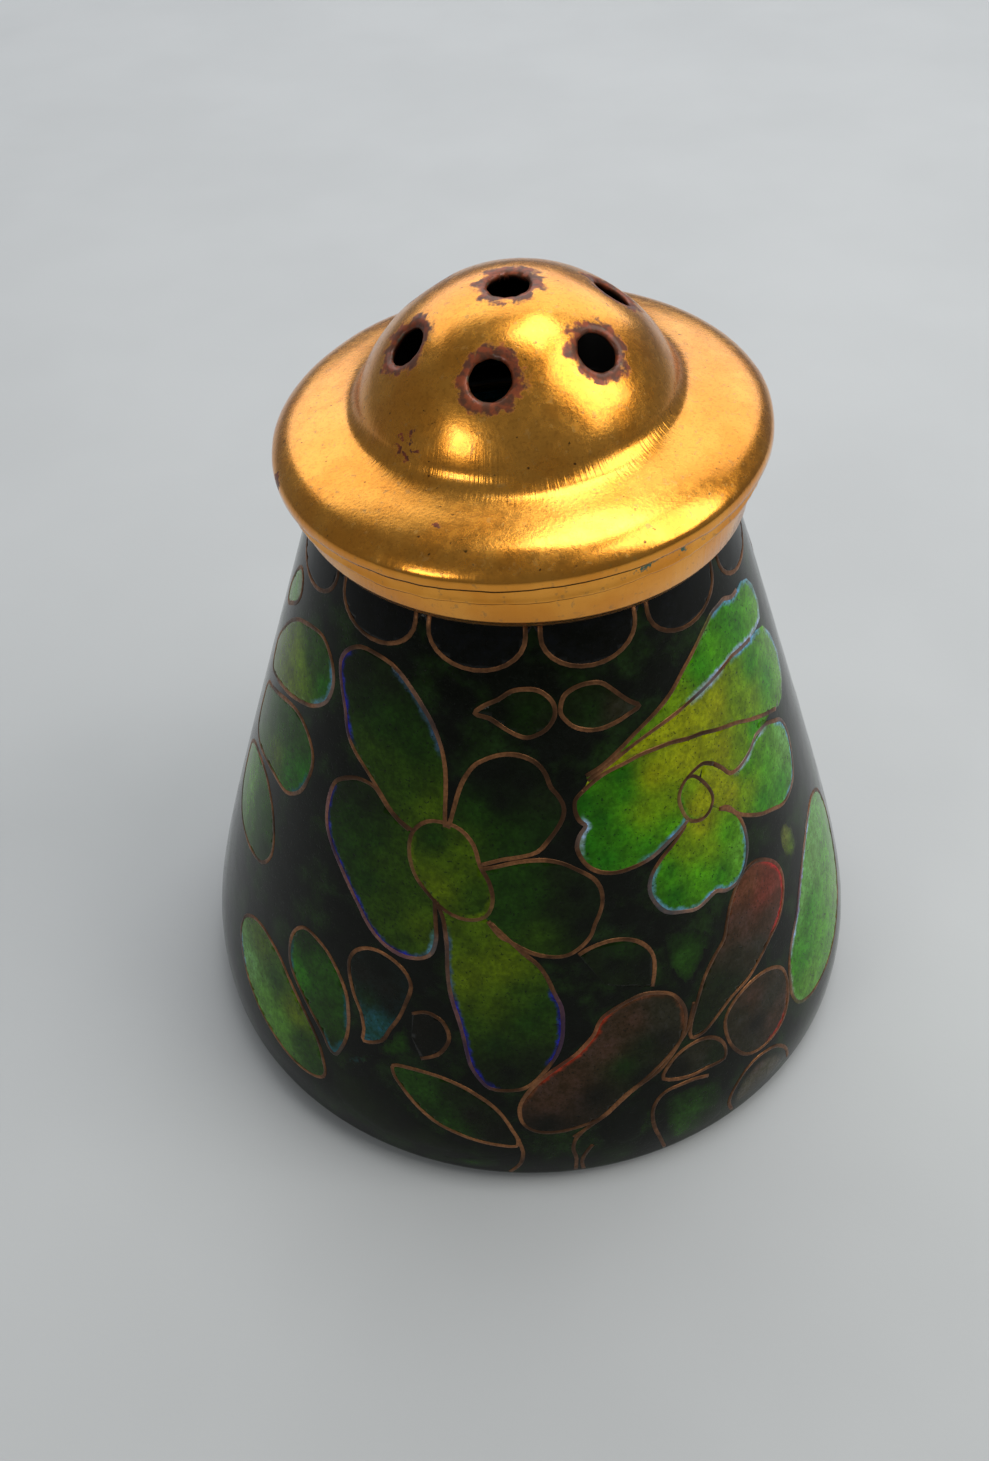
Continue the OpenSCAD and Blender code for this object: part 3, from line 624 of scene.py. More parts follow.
# %% The pattern: buds and side flower
buds = [
    cell(
        [(-13.4, 85.5), (-11.1, 86.8), (-8.2, 87.7), (-5.3, 88.9), (-2.4, 89.2), (0.6, 89), (3, 88),
         (4.3, 86.7), (4.3, 85.3), (3, 83.9), (1.1, 83), (-1.9, 82.4), (-4.8, 83), (-7.2, 83.9),
         (-10.1, 85)],
        [(-7.5, 86, "ink"), (-2, 86, "clover"), (1.6, 85.1, "pine"), (-2.9, 87.8, "pine")],
    ),
    cell(
        [(5.6, 85.9), (6.5, 87.8), (9.1, 88.8), (12.2, 89.1), (15.3, 88.8), (17.7, 87.6), (19.7, 86.3),
         (21.7, 85.1), (23.8, 84), (21.1, 83.4), (18.1, 82.8), (14.5, 82.4), (11.4, 82.6), (8.4, 83.4),
         (6.4, 84.7)],
        [(8.9, 86.1, "pine"), (12.5, 85.3, "clover"), (17.9, 84.8, "umber"), (13.5, 87.8, "pine")],
    ),
    cell(
        [(53, 46), (53.5, 49), (55.4, 50.8), (58.4, 50.1), (60.7, 47), (60.4, 43.2), (57.7, 41.5),
         (54.7, 42.9)],
        [(55.1, 48.1, "straw"), (58.6, 44.6, "olive")],
        wired=False,
    ),
]
side_petals = [
    cell(
        [(-85, 73.5), (-81, 78), (-76.5, 81.5), (-71.5, 84), (-66.6, 85.4), (-63.9, 86), (-60.6, 86.5),
         (-57.5, 86.5), (-54.5, 85.4), (-52.2, 83.8), (-51, 81.4), (-51.9, 78.7), (-54, 77),
         (-57.2, 75.5), (-60.3, 74.6), (-64, 73.6), (-68, 72.6), (-73, 71.5), (-78, 70.3), (-83, 69.5)],
        [(-69, 79.5, "lime"), (-65.6, 79, "chartreuse"), (-61.8, 81.5, "leaf"), (-56.5, 83.1, "leaf"),
         (-53.7, 79.9, "emerald"), (-62.3, 85.3, "leaf"), (-68.7, 75.1, "lime")],
        [(-51.8, 80.6, "sky"), (-53.1, 78.4, "sky")],
    ),
    cell(
        [(-84, 65), (-79, 67.5), (-74, 69.3), (-69.3, 70.8), (-65.1, 71.8), (-61.6, 72.1),
         (-58.7, 71.7), (-55.8, 70.6), (-53.4, 68.6), (-53.1, 65.8), (-54.8, 61.8), (-57.5, 59.5),
         (-60.4, 58.3), (-63.8, 58.1), (-67.1, 58), (-72.9, 57.3), (-78, 56.5), (-83.5, 57.5)],
        [(-71, 65.7, "leaf"), (-65, 67.3, "leaf"), (-58.7, 68.2, "leaf"), (-55.5, 64.4, "emerald"),
         (-60.4, 61.6, "emerald"), (-66.8, 61.5, "olive")],
        [(-55.3, 61.5, "turquoise")],
    ),
    cell(
        [(-86, 50), (-82, 53.5), (-77, 55), (-72.5, 55.6), (-68.8, 55.2), (-65.1, 53.5), (-62.6, 51.2),
         (-60.8, 47.7), (-61, 44.4), (-63.7, 41.4), (-68.3, 40), (-73.3, 39.6), (-79.5, 40),
         (-84.5, 43)],
        [(-76.1, 48.6, "fern"), (-70.7, 49.1, "leaf"), (-64.6, 48.5, "leaf"), (-63.5, 44.7, "clover")],
    ),
    cell(
        [(-86, 83.5), (-83, 87.5), (-79, 89.8), (-75.5, 89.5), (-74, 87.5), (-75.5, 85.3),
         (-79.5, 83.3), (-84, 81.5)],
        [(-80, 87, "fern"), (-76, 88, "haze")],
    ),
]
print(len(buds), "buds and", len(side_petals), "cells in the side flower")

# %% The pattern: low flower
low_petals = [
    cell(
        [(-43.8, 39.5), (-40.9, 38.5), (-38.1, 36.3), (-35.9, 33.4), (-35, 30.4), (-34.6, 27.4),
         (-34.8, 24.4), (-35.6, 21.8), (-36.6, 19.9), (-38, 20.3), (-39.9, 22.7), (-42.8, 25.1),
         (-45.2, 27), (-47.5, 28.8), (-49.2, 30.6), (-50.1, 33), (-50.1, 35.9), (-48.9, 38.3),
         (-46.7, 39.7)],
        [(-37.4, 24.8, "leaf"), (-40.4, 28.9, "leaf"), (-44.2, 33.1, "leaf"), (-46.9, 37.4, "clover"),
         (-36.8, 22, "clover"), (-46.4, 30.9, "grass")],
        [(-49.6, 32.5, "turquoise"), (-36.8, 20.6, "turquoise"), (-35.3, 29.4, "turquoise")],
    ),
    cell(
        [(-62.7, 29.9), (-58.6, 31), (-55, 30.5), (-52, 29.5), (-48.5, 27.1), (-45.5, 24.9),
         (-42.4, 22.2), (-40.2, 19.5), (-39, 16.5), (-38.5, 14.2), (-39.3, 12.4), (-41.6, 11.2),
         (-45.5, 10.8), (-50.5, 11.9), (-56.9, 14.4), (-62.5, 18), (-66.2, 22.4), (-66, 26.8)],
        [(-40.9, 14, "leaf"), (-44.2, 17.4, "leaf"), (-46.4, 21.9, "lime"), (-52.6, 24.6, "leaf"),
         (-58.7, 27.6, "olive"), (-50.1, 16.5, "fern"), (-60.7, 20.7, "mint"), (-55.2, 17.3, "fern")],
        [(-64.8, 20.6, "sky")],
    ),
    cell(
        [(-31.3, 25.9), (-31.5, 28.3), (-32.4, 31.2), (-34, 33.6), (-35.2, 36.2), (-35.9, 38.7),
         (-35.7, 40.5), (-34.6, 42.2), (-32.4, 43.5), (-29.7, 43.9), (-26.6, 43.2), (-24.3, 41.7),
         (-23.3, 39.6), (-24, 36.6), (-25.1, 33.3), (-26.6, 30.4), (-28, 27.5)],
        [(-29.8, 40.7, "ink"), (-28, 37.4, "bark"), (-32.9, 38.5, "bark"), (-31.1, 34.1, "clover"),
         (-29.2, 31, "turquoise"), (-29.6, 27.9, "turquoise"), (-27.1, 34.7, "ink")],
    ),
    cell(
        [(-22.7, 34.9), (-21, 35.7), (-19.4, 35.8), (-17.3, 34.9), (-16.1, 32.8), (-16.3, 30.8),
         (-17.9, 28.4), (-20.7, 26.8)],
        [(-20.1, 32.1, "bark"), (-18.1, 31, "ink")],
        root=[(-22.6, 30.5)],
    ),
    cell(
        [(-27.2, 29.4), (-25.6, 32.1), (-24.1, 33.8), (-22.4, 32.6), (-22, 29.9), (-21, 27.1),
         (-23.4, 25.5), (-25.7, 24.2), (-28.2, 23.9), (-29.6, 25.4), (-28.9, 27.3)],
        [(-25.2, 28.9, "leaf"), (-25.2, 26.9, "leaf"), (-28.3, 25.4, "clover"), (-23.7, 31, "clover")],
        wired=False,
    ),
    cell(
        [(-35.9, 19.8), (-34.3, 21.8), (-31.8, 23.5), (-29.8, 24.5), (-28.8, 23.2), (-29.2, 21.7),
         (-31.2, 20.2), (-33.7, 19)],
        [(-33.2, 20.6, "turquoise"), (-30.3, 22.9, "leaf")],
        wired=False,
    ),
    cell(
        [(-25.5, 23.6), (-22.7, 24.2), (-19.6, 24.3), (-17.1, 24.1), (-14.7, 23.5), (-12.7, 22.7),
         (-11, 21.7), (-9, 20.3), (-7.5, 18.7), (-6.3, 16.8), (-5.4, 14.8), (-4.6, 12.9), (-4.9, 11.1),
         (-8, 11.2), (-11.4, 11.8), (-14.4, 12.8), (-17.3, 14), (-19.6, 15.6), (-21.6, 17.4),
         (-23.4, 19.4), (-25.2, 21.6)],
        [(-23.2, 22, "leaf"), (-20.1, 19.3, "leaf"), (-18, 15.6, "clover"), (-15.1, 21.2, "pine"),
         (-12, 17.4, "bark"), (-8, 14, "bark"), (-16, 14, "leaf")],
    ),
    cell(
        [(-37, 18.6), (-33.2, 18.3), (-29.7, 20.2), (-27.7, 20.5), (-24.7, 18.6), (-22, 16),
         (-18.9, 13.5), (-15.4, 11.6), (-10.9, 9.9), (-13.8, 7.3), (-19.7, 5.9), (-27.5, 6.3),
         (-34.5, 8.6), (-37.7, 11.9), (-37.8, 15.2)],
        [(-33, 15.6, "pine"), (-28.1, 17.4, "ink"), (-22.9, 13.1, "ink"), (-29.7, 10.6, "pine"),
         (-19.8, 8.9, "pine")],
        wired=False,
    ),
    cell(
        [(-18.7, 5.4), (-12.8, 7.1), (-8.4, 9), (-6.7, 7), (-7.1, 4.3), (-10.8, 3), (-16.7, 3.1)],
        [(-12.8, 5.3, "leaf"), (-8.9, 6.1, "clover")],
        wired=False,
    ),
]
print(len(low_petals), "cells in the low flower")

# %% The pattern: leaves
green_leaves = [
    cell(
        [(6.5, 47.8), (8.7, 48.7), (12, 49.2), (15.3, 48.8), (18.1, 47.4), (19.9, 45.1), (20.1, 42.4),
         (19.3, 39.2)],
        [(8.8, 46.2, "pine"), (12.8, 45, "ink"), (17.8, 42.8, "ink"), (14.6, 47.3, "clover"),
         (13.9, 41.8, "pine")],
        root=[(10.9, 41.8)],
    ),
    cell(
        [(22, 48), (25.3, 47.9), (29.3, 46.8), (32.9, 44.1), (32.7, 41.6), (30.4, 39.4), (28, 37),
         (25.8, 36.2), (23.8, 37.7), (22.2, 40.4), (21.5, 44)],
        [(24.5, 45.1, "clover"), (26.7, 41.8, "leaf"), (24.9, 39.1, "leaf"), (30.5, 44.1, "clover")],
        wired=False,
    ),
    cell(
        [(19.3, 17.1), (22.6, 17.6), (26.6, 17.1), (30, 15.6), (31.2, 12.7), (30.8, 8.7), (29.8, 4.2),
         (24.5, 3.3), (20.2, 3.9), (19.2, 7.2), (18.6, 10.5), (18.4, 14)],
        [(21, 14.8, "clover"), (23.8, 11.4, "leaf"), (21.6, 7.2, "leaf"), (27.8, 12.3, "clover"),
         (27.5, 7.3, "pine")],
        wired=False,
    ),
    cell(
        [(19.5, 20.9), (21, 23.5), (23.4, 25), (26.3, 25.4), (28.9, 24.7), (30.8, 22.9), (31.5, 20.9),
         (31, 18.8), (27.7, 19), (23.7, 19.2)],
        [(22.2, 22, "bark"), (26.3, 22.9, "umber"), (29.2, 21.1, "pine")],
    ),
    cell(
        [(66, 42.6), (63.6, 41.4), (61.1, 39.9), (59.3, 38.4), (57.7, 36.9), (56, 35), (54.7, 33.2),
         (52.7, 31.2), (50.9, 29.2), (49.7, 27.4), (48.9, 25.3), (48.5, 23.5), (48.4, 21.8),
         (48.2, 20.2), (48.5, 18.7), (49.2, 17), (50.3, 15.6), (52.8, 14.2), (55.5, 13.5),
         (61.3, 13.3), (67.6, 14.7), (74.5, 18.5), (79.5, 24.5), (81.5, 32), (78.5, 39.5), (72, 43.5)],
        [(54.3, 17.3, "fern"), (53.7, 23.6, "grass"), (58.7, 29.6, "grass"), (63, 22.3, "spring"),
         (65.1, 36.3, "mint"), (73.1, 31.3, "spring"), (56.3, 34, "mint"), (71.5, 21.7, "fern")],
        [(50.1, 16.5, "mint"), (49.1, 21.8, "haze"), (51.5, 29.8, "frost"), (54.9, 33.5, "lilac"),
         (57.9, 37.2, "lilac"), (61.4, 40.1, "frost"), (65.7, 42.5, "frost")],
    ),
    cell(
        [(9.1, 15.9), (8.9, 12.6), (9.6, 9.8), (12, 8.3), (14.8, 8.8), (16.4, 11), (16.9, 14),
         (17.1, 16.5), (16.9, 18.7), (14.9, 19.6), (12.1, 18.5), (10, 17.3)],
        [(11.9, 12.2, "ink"), (14, 16.5, "ink")],
        wired=False,
    ),
]
red_leaves = [
    cell(
        [(0, 14.4), (-2, 14.9), (-3.5, 16.2), (-4.2, 18.2), (-4, 20.8), (-2.4, 23.7), (0.3, 26.5),
         (3, 28.5), (5.2, 30), (6.9, 31.6), (8.4, 33.3), (9.2, 35), (10.4, 36.3), (13.5, 37.6),
         (17.4, 38.3), (20.9, 37.4), (23.1, 36), (24.6, 33.3), (24.7, 30.7), (23.6, 27.7),
         (21.6, 25.2), (18.8, 22.8), (14.7, 20.9), (11.6, 18.6), (9, 16.4), (5.5, 15.2), (2.5, 14.5)],
        [(0, 16.5, "bark"), (0, 21.2, "russet"), (4.1, 25, "russet"), (8.1, 21.2, "bark"),
         (13.1, 25.9, "clover"), (10.1, 30, "russet"), (17.2, 28.9, "pine"), (15.1, 34.1, "russet"),
         (20.1, 34.1, "umber"), (20.2, 28.9, "bark"), (16.1, 23, "ink"), (22.1, 32.1, "umber")],
        [(-2.6, 23.5, "rust"), (0.3, 26.5, "ember"), (3, 28.5, "ember"), (5.6, 30.2, "ember"),
         (8.4, 33.3, "ember"), (9.3, 35.2, "ember"), (13, 37.6, "rust"), (17.9, 38.3, "rust"),
         (24.7, 32.6, "rust")],
    ),
    cell(
        [(25.6, 29.4), (27.3, 32.9), (29.4, 36.5), (32.1, 39.2), (34.7, 41.1), (36.1, 43.9),
         (38, 46.8), (41, 49.2), (44.8, 49.8), (48.2, 48.4), (51.3, 45.6), (52.5, 42.2), (51.3, 38.8),
         (48.7, 36), (45.4, 34.5), (41.8, 32.6), (38.3, 30.9), (34.3, 29.9), (30.8, 28.1),
         (27.8, 26.5), (25.3, 26.7)],
        [(28.3, 29.9, "pine"), (32.1, 34.1, "pine"), (37.1, 36.3, "umber"), (35.3, 32, "pine"),
         (39.6, 41.9, "russet"), (42.9, 46.5, "rust"), (46.2, 43.2, "brick"), (49.1, 44.3, "brick"),
         (45.8, 38.6, "russet"), (42.1, 35.2, "umber")],
        [(52.1, 43.3, "scarlet"), (51.4, 39.5, "scarlet"), (50.6, 46.3, "scarlet"),
         (49, 36.6, "scarlet"), (38.9, 47.4, "rust")],
    ),
    cell(
        [(32.2, 26.1), (34.3, 28.5), (38.4, 29.8), (42.9, 29.4), (46.4, 27.3), (47.6, 24.2),
         (47.3, 20.4), (45.7, 17.3), (43, 15.5), (39.5, 15), (36, 16.1), (33.7, 18.7), (32.3, 22.2)],
        [(35.4, 24.8, "umber"), (38.4, 21, "bark"), (42.5, 23.7, "umber"), (43.3, 19.1, "russet"),
         (38.4, 26.8, "russet"), (36.2, 18.3, "umber")],
        [(43.7, 16.9, "scarlet"), (46.2, 20, "rust")],
    ),
    cell(
        [(32.7, 4.1), (31.7, 7.4), (32.8, 10.3), (35.3, 12.6), (38.3, 13.5), (41.7, 12.4),
         (43.8, 10.5), (45.3, 7.9), (45.8, 5.3), (38.9, 3.9)],
        [(35.4, 9.2, "taupe"), (40.3, 9.3, "taupe"), (38, 6, "umber"), (37.7, 12.4, "russet")],
        wired=False,
    ),
]
print(len(green_leaves), "green and", len(red_leaves), "red leaves")

# %% The pattern: open wires
hook = [
    (27.6, 17.2), (25.1, 18), (22.6, 18.2), (20.1, 18.1), (18.4, 17.1), (17.4, 15.3), (17.2, 13.1),
    (17.5, 10.5), (18.2, 8), (18.9, 5.4), (19.4, 3.5),
]
arch = [
    (32.4, 4.1), (31.5, 7.4), (32.6, 10.3), (35.1, 12.8), (38.3, 13.6), (41.9, 12.6), (44.1, 10.6),
    (45.5, 8), (46.1, 5.3),
]
stalk = [
    (4.2, 12.9), (6.5, 14.6), (9.8, 17.3), (12.9, 20.1), (16.7, 22.3), (20, 24.5), (22.6, 26.5),
    (24.6, 28.4), (25.6, 30.4), (26.7, 33.1),
]
foot_lines = [
    [(8.7, 16.2), (6.2, 14.4), (4.6, 12.4), (4.1, 9.9), (4.6, 7.1), (4.5, 3.3)],
    [(7.2, 10.3), (6.1, 8.3), (5.5, 6), (5.8, 3.3)],
    [(-4.6, 12.9), (-3.8, 9.6), (-4.3, 6.1), (-5.9, 3.3)],
]
print(3 + len(foot_lines), "open wires")

# %% [markdown]
# ## Wrapping wires onto the wall
# A wire starts as a flat grid: one side of the grid is its length and the other goes round its
# section, a low half round whose foot is sunk in the enamel. Each grid point is then moved to its
# place along the path. Sweeping a curve object would be shorter, but its section twists on a cone,
# while here the section always stands square to the wall. Each wire is made apart and then joined to
# its piece, so wires that touch keep their own ends. The hand shows as a slight change of width.

# %% Wires: paths
FULL_COUNT, SCALLOP_H = 91.4667, 2.6
OUTLINE_STEPS = 3
WIRE_RIM_REACH, RIM_GAIN = 1.4, 1.2


def count_z(count):
    return (WALL_TOP - SCALLOP_H) * count / FULL_COUNT


def path_on_wall(points, closed):
    """The smooth path through an outline's points as a list of (turn, height)."""
    return [(turn, count_z(count)) for turn, count in smooth_line(points, OUTLINE_STEPS, closed)]


def rim_strength(place, rims, reach):
    """The rim colour at a place near the wire, with its strength as the fourth number."""
    best, colour = 0.0, (0.0, 0.0, 0.0)
    for turn, count, powder in rims:
        away = (on_wall(turn, count_z(count))[0] - place).length
        strength = max(0.0, 1 - (away / reach) ** 2)
        if strength > best:
            best, colour = strength, POWDERS[powder][:3]
    return (*colour, min(1.0, best * RIM_GAIN))


print("one count is", round(count_z(1), 4), "mm")

# %% Wires: laying
WIRE_W, WIRE_SINK = 0.26, 0.01
WIRE_SECTION = [(-1, -0.15), (-1, 0.0), (-0.72, 0.02), (0, 0.03), (0.72, 0.02), (1, 0.0), (1, -0.15)]
HAND_SWAY, SWAY_RATE = 0.16, 0.8


def join(bm, part):
    """Adds a finished bmesh to another one."""
    mesh = bpy.data.meshes.new("part")
    part.to_mesh(mesh)
    part.free()
    bm.from_mesh(mesh)
    bpy.data.meshes.remove(mesh)


def lay_wire(bm, path, closed, rims=()):
    """Lays one wire along a path of (turn, height) on the wall."""
    spots = [on_wall(turn, z) for turn, z in path]
    count = len(spots)
    steps = count if closed else count - 1
    wire = bmesh.new()
    layer = wire.verts.layers.float_color.new("rim")
    bmesh.ops.create_grid(wire, x_segments=steps, y_segments=len(WIRE_SECTION), size=0.5)
    sides = []
    for i, (place, out) in enumerate(spots):
        ahead = spots[(i + 1) % count] if closed else spots[min(i + 1, count - 1)]
        behind = spots[i - 1] if closed else spots[max(i - 1, 0)]
        sides.append(out.cross(ahead[0] - behind[0]).normalized())
    colours = [rim_strength(place, rims, WIRE_RIM_REACH) for place, out in spots]
    for vert in wire.verts:
        along = round((vert.co.x + 0.5) * steps) % count
        around = round((vert.co.y + 0.5) * len(WIRE_SECTION)) % len(WIRE_SECTION)
        share, lift = WIRE_SECTION[around]
        place, out = spots[along]
        width = WIRE_W / 2 * (1 + HAND_SWAY * noise.noise(place * SWAY_RATE))
        vert.co = place + sides[along] * share * width + out * (lift - WIRE_SINK)
        vert[layer] = colours[along]
    bmesh.ops.remove_doubles(wire, verts=wire.verts, dist=JOINED)
    if not closed:
        bmesh.ops.holes_fill(wire, edges=[edge for edge in wire.edges if edge.is_boundary], sides=0)
    bmesh.ops.recalc_face_normals(wire, faces=wire.faces)
    join(bm, wire)


print("a wire is", WIRE_W, "mm wide")

# %% Wires: pieces
def both_sides(bm):
    """Repeats the pattern half a turn on, for the back of the body."""
    turned_copy(bm, bm.verts[:] + bm.edges[:] + bm.faces[:], math.pi)


def wire_piece(name, cells, node, open_paths=()):
    bm = bmesh.new()
    bm.verts.layers.float_color.new("rim")
    for one in cells:
        if one["wired"]:
            closed = not one["root"]
            lay_wire(bm, path_on_wall(one["outline"], closed), closed, one["rims"])
    for path in open_paths:
        lay_wire(bm, path_on_wall(path, False), False)
    both_sides(bm)
    finish_piece(bm, name, wire_copper, "shaker", node, tidy=False)


wire_piece("bud_wire_loops", buds, "bud_wires")
wire_piece("blossom_wire_loops", blossom_centre + blossom_petals, "blossom_wires")
wire_piece(
    "orchid_wire_loops", orchid_centre + orchid_petals, "orchid_wires", [long_ray_low, middle_stem]
)
wire_piece("side_flower_wire_loops", side_petals, "side_flower_wires")
wire_piece("low_flower_wire_loops", low_petals, "low_flower_wires")
wire_piece("leaf_wire_loops", green_leaves + red_leaves, "leaf_wires")
wire_piece("tendril_wire_lines", [], "tendril_wires", [hook, arch, stalk] + foot_lines)

# %% [markdown]
# ## Filling the fields
# Each field starts as one flat face with the outline's shape. It is cut into triangles, and then into
# small squares by parallel planes so that it can bend, extruded to the thickness of the enamel, and
# wrapped onto the wall. Cutting the field out of a ready wall with a boolean would leave ragged edges;
# here the edge is the outline itself, and the wire covers it. A field without a wire has to melt into
# the ground: its colour fades towards the edge, and the edge dips under the ground coat.

# %% Fields: painting
SOFT_EDGE, FADE_START = 0.55, 0.25
FADED_TONE = np.array(linear(13, 20, 7)[:3])
MELT, MELT_POWER = 0.35, 3
RIM_LIMIT, RIM_SPREAD = 1.2, 1.6
PAINT_LAYERS = ("glaze", "rim")


def edge_distances(places, outline):
    """The distance from each place to the outline, as straight steps between its points."""
    way = np.roll(outline, -1, axis=0) - outline
    offset = places[:, None] - outline[None]
    share = np.clip((offset * way).sum(2) / (way**2).sum(1), 0, 1)
    return np.linalg.norm(offset - share[:, :, None] * way[None], axis=2).min(1)


def paint_field(bm, outline, one):
    """Paints a field's points from its dabs, as wet powders that melt into each other."""
    glaze, rim = (bm.verts.layers.float_color[name] for name in PAINT_LAYERS)
    edge = bm.verts.layers.float["edge"]
    places = np.array([v.co[:] for v in bm.verts])
    dab_places = np.array([on_wall(turn, count_z(count))[0][:] for turn, count, powder in one["dabs"]])
    dab_colours = np.array([POWDERS[powder][:3] for turn, count, powder in one["dabs"]])
    near = 1 / (np.linalg.norm(places[:, None] - dab_places[None], axis=2) + MELT) ** MELT_POWER
    colours = (near[:, :, None] * dab_colours[None]).sum(1) / near.sum(1)[:, None]
    away = edge_distances(places, np.array([p[:] for p in outline]))
    for vert, colour, distance in zip(bm.verts, colours, away):
        if not one["wired"]:
            share = min(1.0, max(0.0, distance - FADE_START) / SOFT_EDGE) ** 2
            colour = FADED_TONE * (1 - share) + colour * share
        vert[glaze] = (*colour, 1.0)
        vert[edge] = float(distance)
        near_rim = one["rims"] and distance < RIM_LIMIT
        vert[rim] = rim_strength(vert.co, one["rims"], RIM_SPREAD) if near_rim else (0, 0, 0, 0)


print("a soft field fades over", SOFT_EDGE, "mm")

# %% Fields: filling
FIELD_GRID, FIELD_T, FLAT_R = 0.4, 0.3, 17.0
GROUND_DEPTH, FIELD_DEPTH, DEPTH_STEP, SOFT_LIFT = 0.02, 0.006, 0.001, 0.003
DIP, DIP_REACH = 0.03, 0.5


def fill_field(bm, one, depth):
    """Adds one field, whose face lies at a depth below the wall."""
    path = path_on_wall(one["outline"], not one["root"])
    path += [(turn, count_z(count)) for turn, count in one["root"]]
    flat = bmesh.new()
    for name in PAINT_LAYERS:
        flat.verts.layers.float_color.new(name)
    flat.verts.layers.float.new("edge")
    flat.faces.new([flat.verts.new((math.radians(turn) * FLAT_R, z, 0)) for turn, z in path])
    bmesh.ops.triangulate(flat, faces=flat.faces[:])
    for axis, normal in enumerate([(1, 0, 0), (0, 1, 0)]):
        values = [v.co[axis] for v in flat.verts]
        cut = math.ceil(min(values) / FIELD_GRID) * FIELD_GRID
        while cut < max(values):
            bmesh.ops.bisect_plane(
                flat, geom=flat.verts[:] + flat.edges[:] + flat.faces[:], dist=1e-6,
                plane_co=(cut, cut, 0), plane_no=normal,
            )
            cut += FIELD_GRID
    grown = bmesh.ops.extrude_face_region(flat, geom=flat.faces[:])
    lifted = [item for item in grown["geom"] if isinstance(item, bmesh.types.BMVert)]
    bmesh.ops.translate(flat, vec=(0, 0, 1), verts=lifted)
    for vert in flat.verts:
        place, out = on_wall(math.degrees(vert.co.x / FLAT_R), vert.co.y)
        vert.co = place - out * (depth if vert.co.z > 0.5 else FIELD_T)
    paint_field(flat, [on_wall(turn, z)[0] for turn, z in path], one)
    if not one["wired"]:
        edge = flat.verts.layers.float["edge"]
        for vert in flat.verts:
            sunk = DIP * max(0.0, 1 - vert[edge] / DIP_REACH) ** 2
            vert.co -= Vector((vert.co.x, vert.co.y, 0)).normalized() * sunk
    bmesh.ops.recalc_face_normals(flat, faces=flat.faces)
    join(bm, flat)


print("fields are cut every", FIELD_GRID, "mm")

# %% Fields: pieces
def field_piece(name, cells, node, depth=FIELD_DEPTH):
    bm = bmesh.new()
    for i, one in enumerate(cells):
        fill_field(bm, one, depth + DEPTH_STEP * i if one["wired"] else GROUND_DEPTH - SOFT_LIFT)
    both_sides(bm)
    finish_piece(bm, name, painted_enamel, "shaker", node, tidy=False)


field_piece("bud_fields", buds, "bud_enamel")
field_piece("blossom_petal_fields", blossom_petals, "blossom_petal_enamel")
field_piece("blossom_centre_field", blossom_centre, "blossom_centre_enamel", 0.0)
field_piece("orchid_petal_fields", orchid_petals, "orchid_petal_enamel")
field_piece("orchid_centre_field", orchid_centre, "orchid_centre_enamel", 0.0)
field_piece("side_flower_fields", side_petals, "side_flower_enamel")
field_piece("low_flower_fields", low_petals, "low_flower_enamel")
field_piece("green_leaf_fields", green_leaves, "green_leaf_enamel")
field_piece("red_leaf_fields", red_leaves, "red_leaf_enamel")

# %% [markdown]
# ## Ground enamel
# Behind the pattern the ground enamel covers the whole wall. It is a surface of revolution, so its
# profile is spun. The ground lies a hair below the fields, as the polished fields stand level with the
# wires and the ground is a little worn.

# %% Ground enamel
WALL_STEPS, EDGE_ROWS, WALL_ROWS = 192, 7, 56
GROUND_BACK = 0.49

edge_top = EDGE_GAP + EDGE_R
heights = [EDGE_GAP + (edge_top - EDGE_GAP) * i / EDGE_ROWS for i in range(EDGE_ROWS)]
heights += [edge_top + (WALL_TOP - edge_top) * i / WALL_ROWS for i in range(WALL_ROWS + 1)]
outer = [(wall_radius(z) - GROUND_DEPTH, z) for z in heights]
inner = [(wall_radius(z) - GROUND_BACK, z) for z in heights]

bm = bmesh.new()
spin_profile(bm, outer + inner[::-1], WALL_STEPS)
finish_piece(bm, "ground_enamel_coat", ground_glass, "shaker", "ground_enamel")
print("ground coat spun in", WALL_STEPS, "steps")

# %% [markdown]
# ## Scallops
# Thirteen black scallops hang from the collar. One is made and repeated round the axis.

# %% Scallops
SCALLOP_COUNT, SCALLOP_FILL, SCALLOP_SIDE = 13, 0.87, 0.3
SCALLOP_TOP = WALL_TOP - 0.01
half_place = 180 / SCALLOP_COUNT


def scallop_path(steps):
    """Down one side, round the arc and up the other side, in (turn, height)."""
    half = half_place * SCALLOP_FILL
    arc_z = WALL_TOP - SCALLOP_H * SCALLOP_SIDE
    drop = SCALLOP_H * (1 - SCALLOP_SIDE)
    turns = np.linspace(math.pi, math.tau, steps + 1)
    arc = [(half * math.cos(a), arc_z + drop * math.sin(a)) for a in turns]
    path = [(-half, SCALLOP_TOP)] + arc + [(half, SCALLOP_TOP)]
    return [(turn + half_place, z) for turn, z in path]


def around_collar(bm):
    """Repeats what is in the bmesh at each scallop's place."""
    first = bm.verts[:] + bm.edges[:] + bm.faces[:]
    for i in range(1, SCALLOP_COUNT):
        turned_copy(bm, first, math.tau * i / SCALLOP_COUNT)


bm = bmesh.new()
bm.verts.layers.float_color.new("rim")
lay_wire(bm, scallop_path(14), False)
around_collar(bm)
finish_piece(
    bm, "scallop_wire_arcs", wire_copper, "shaker", "scallop_wires", tidy=False
)

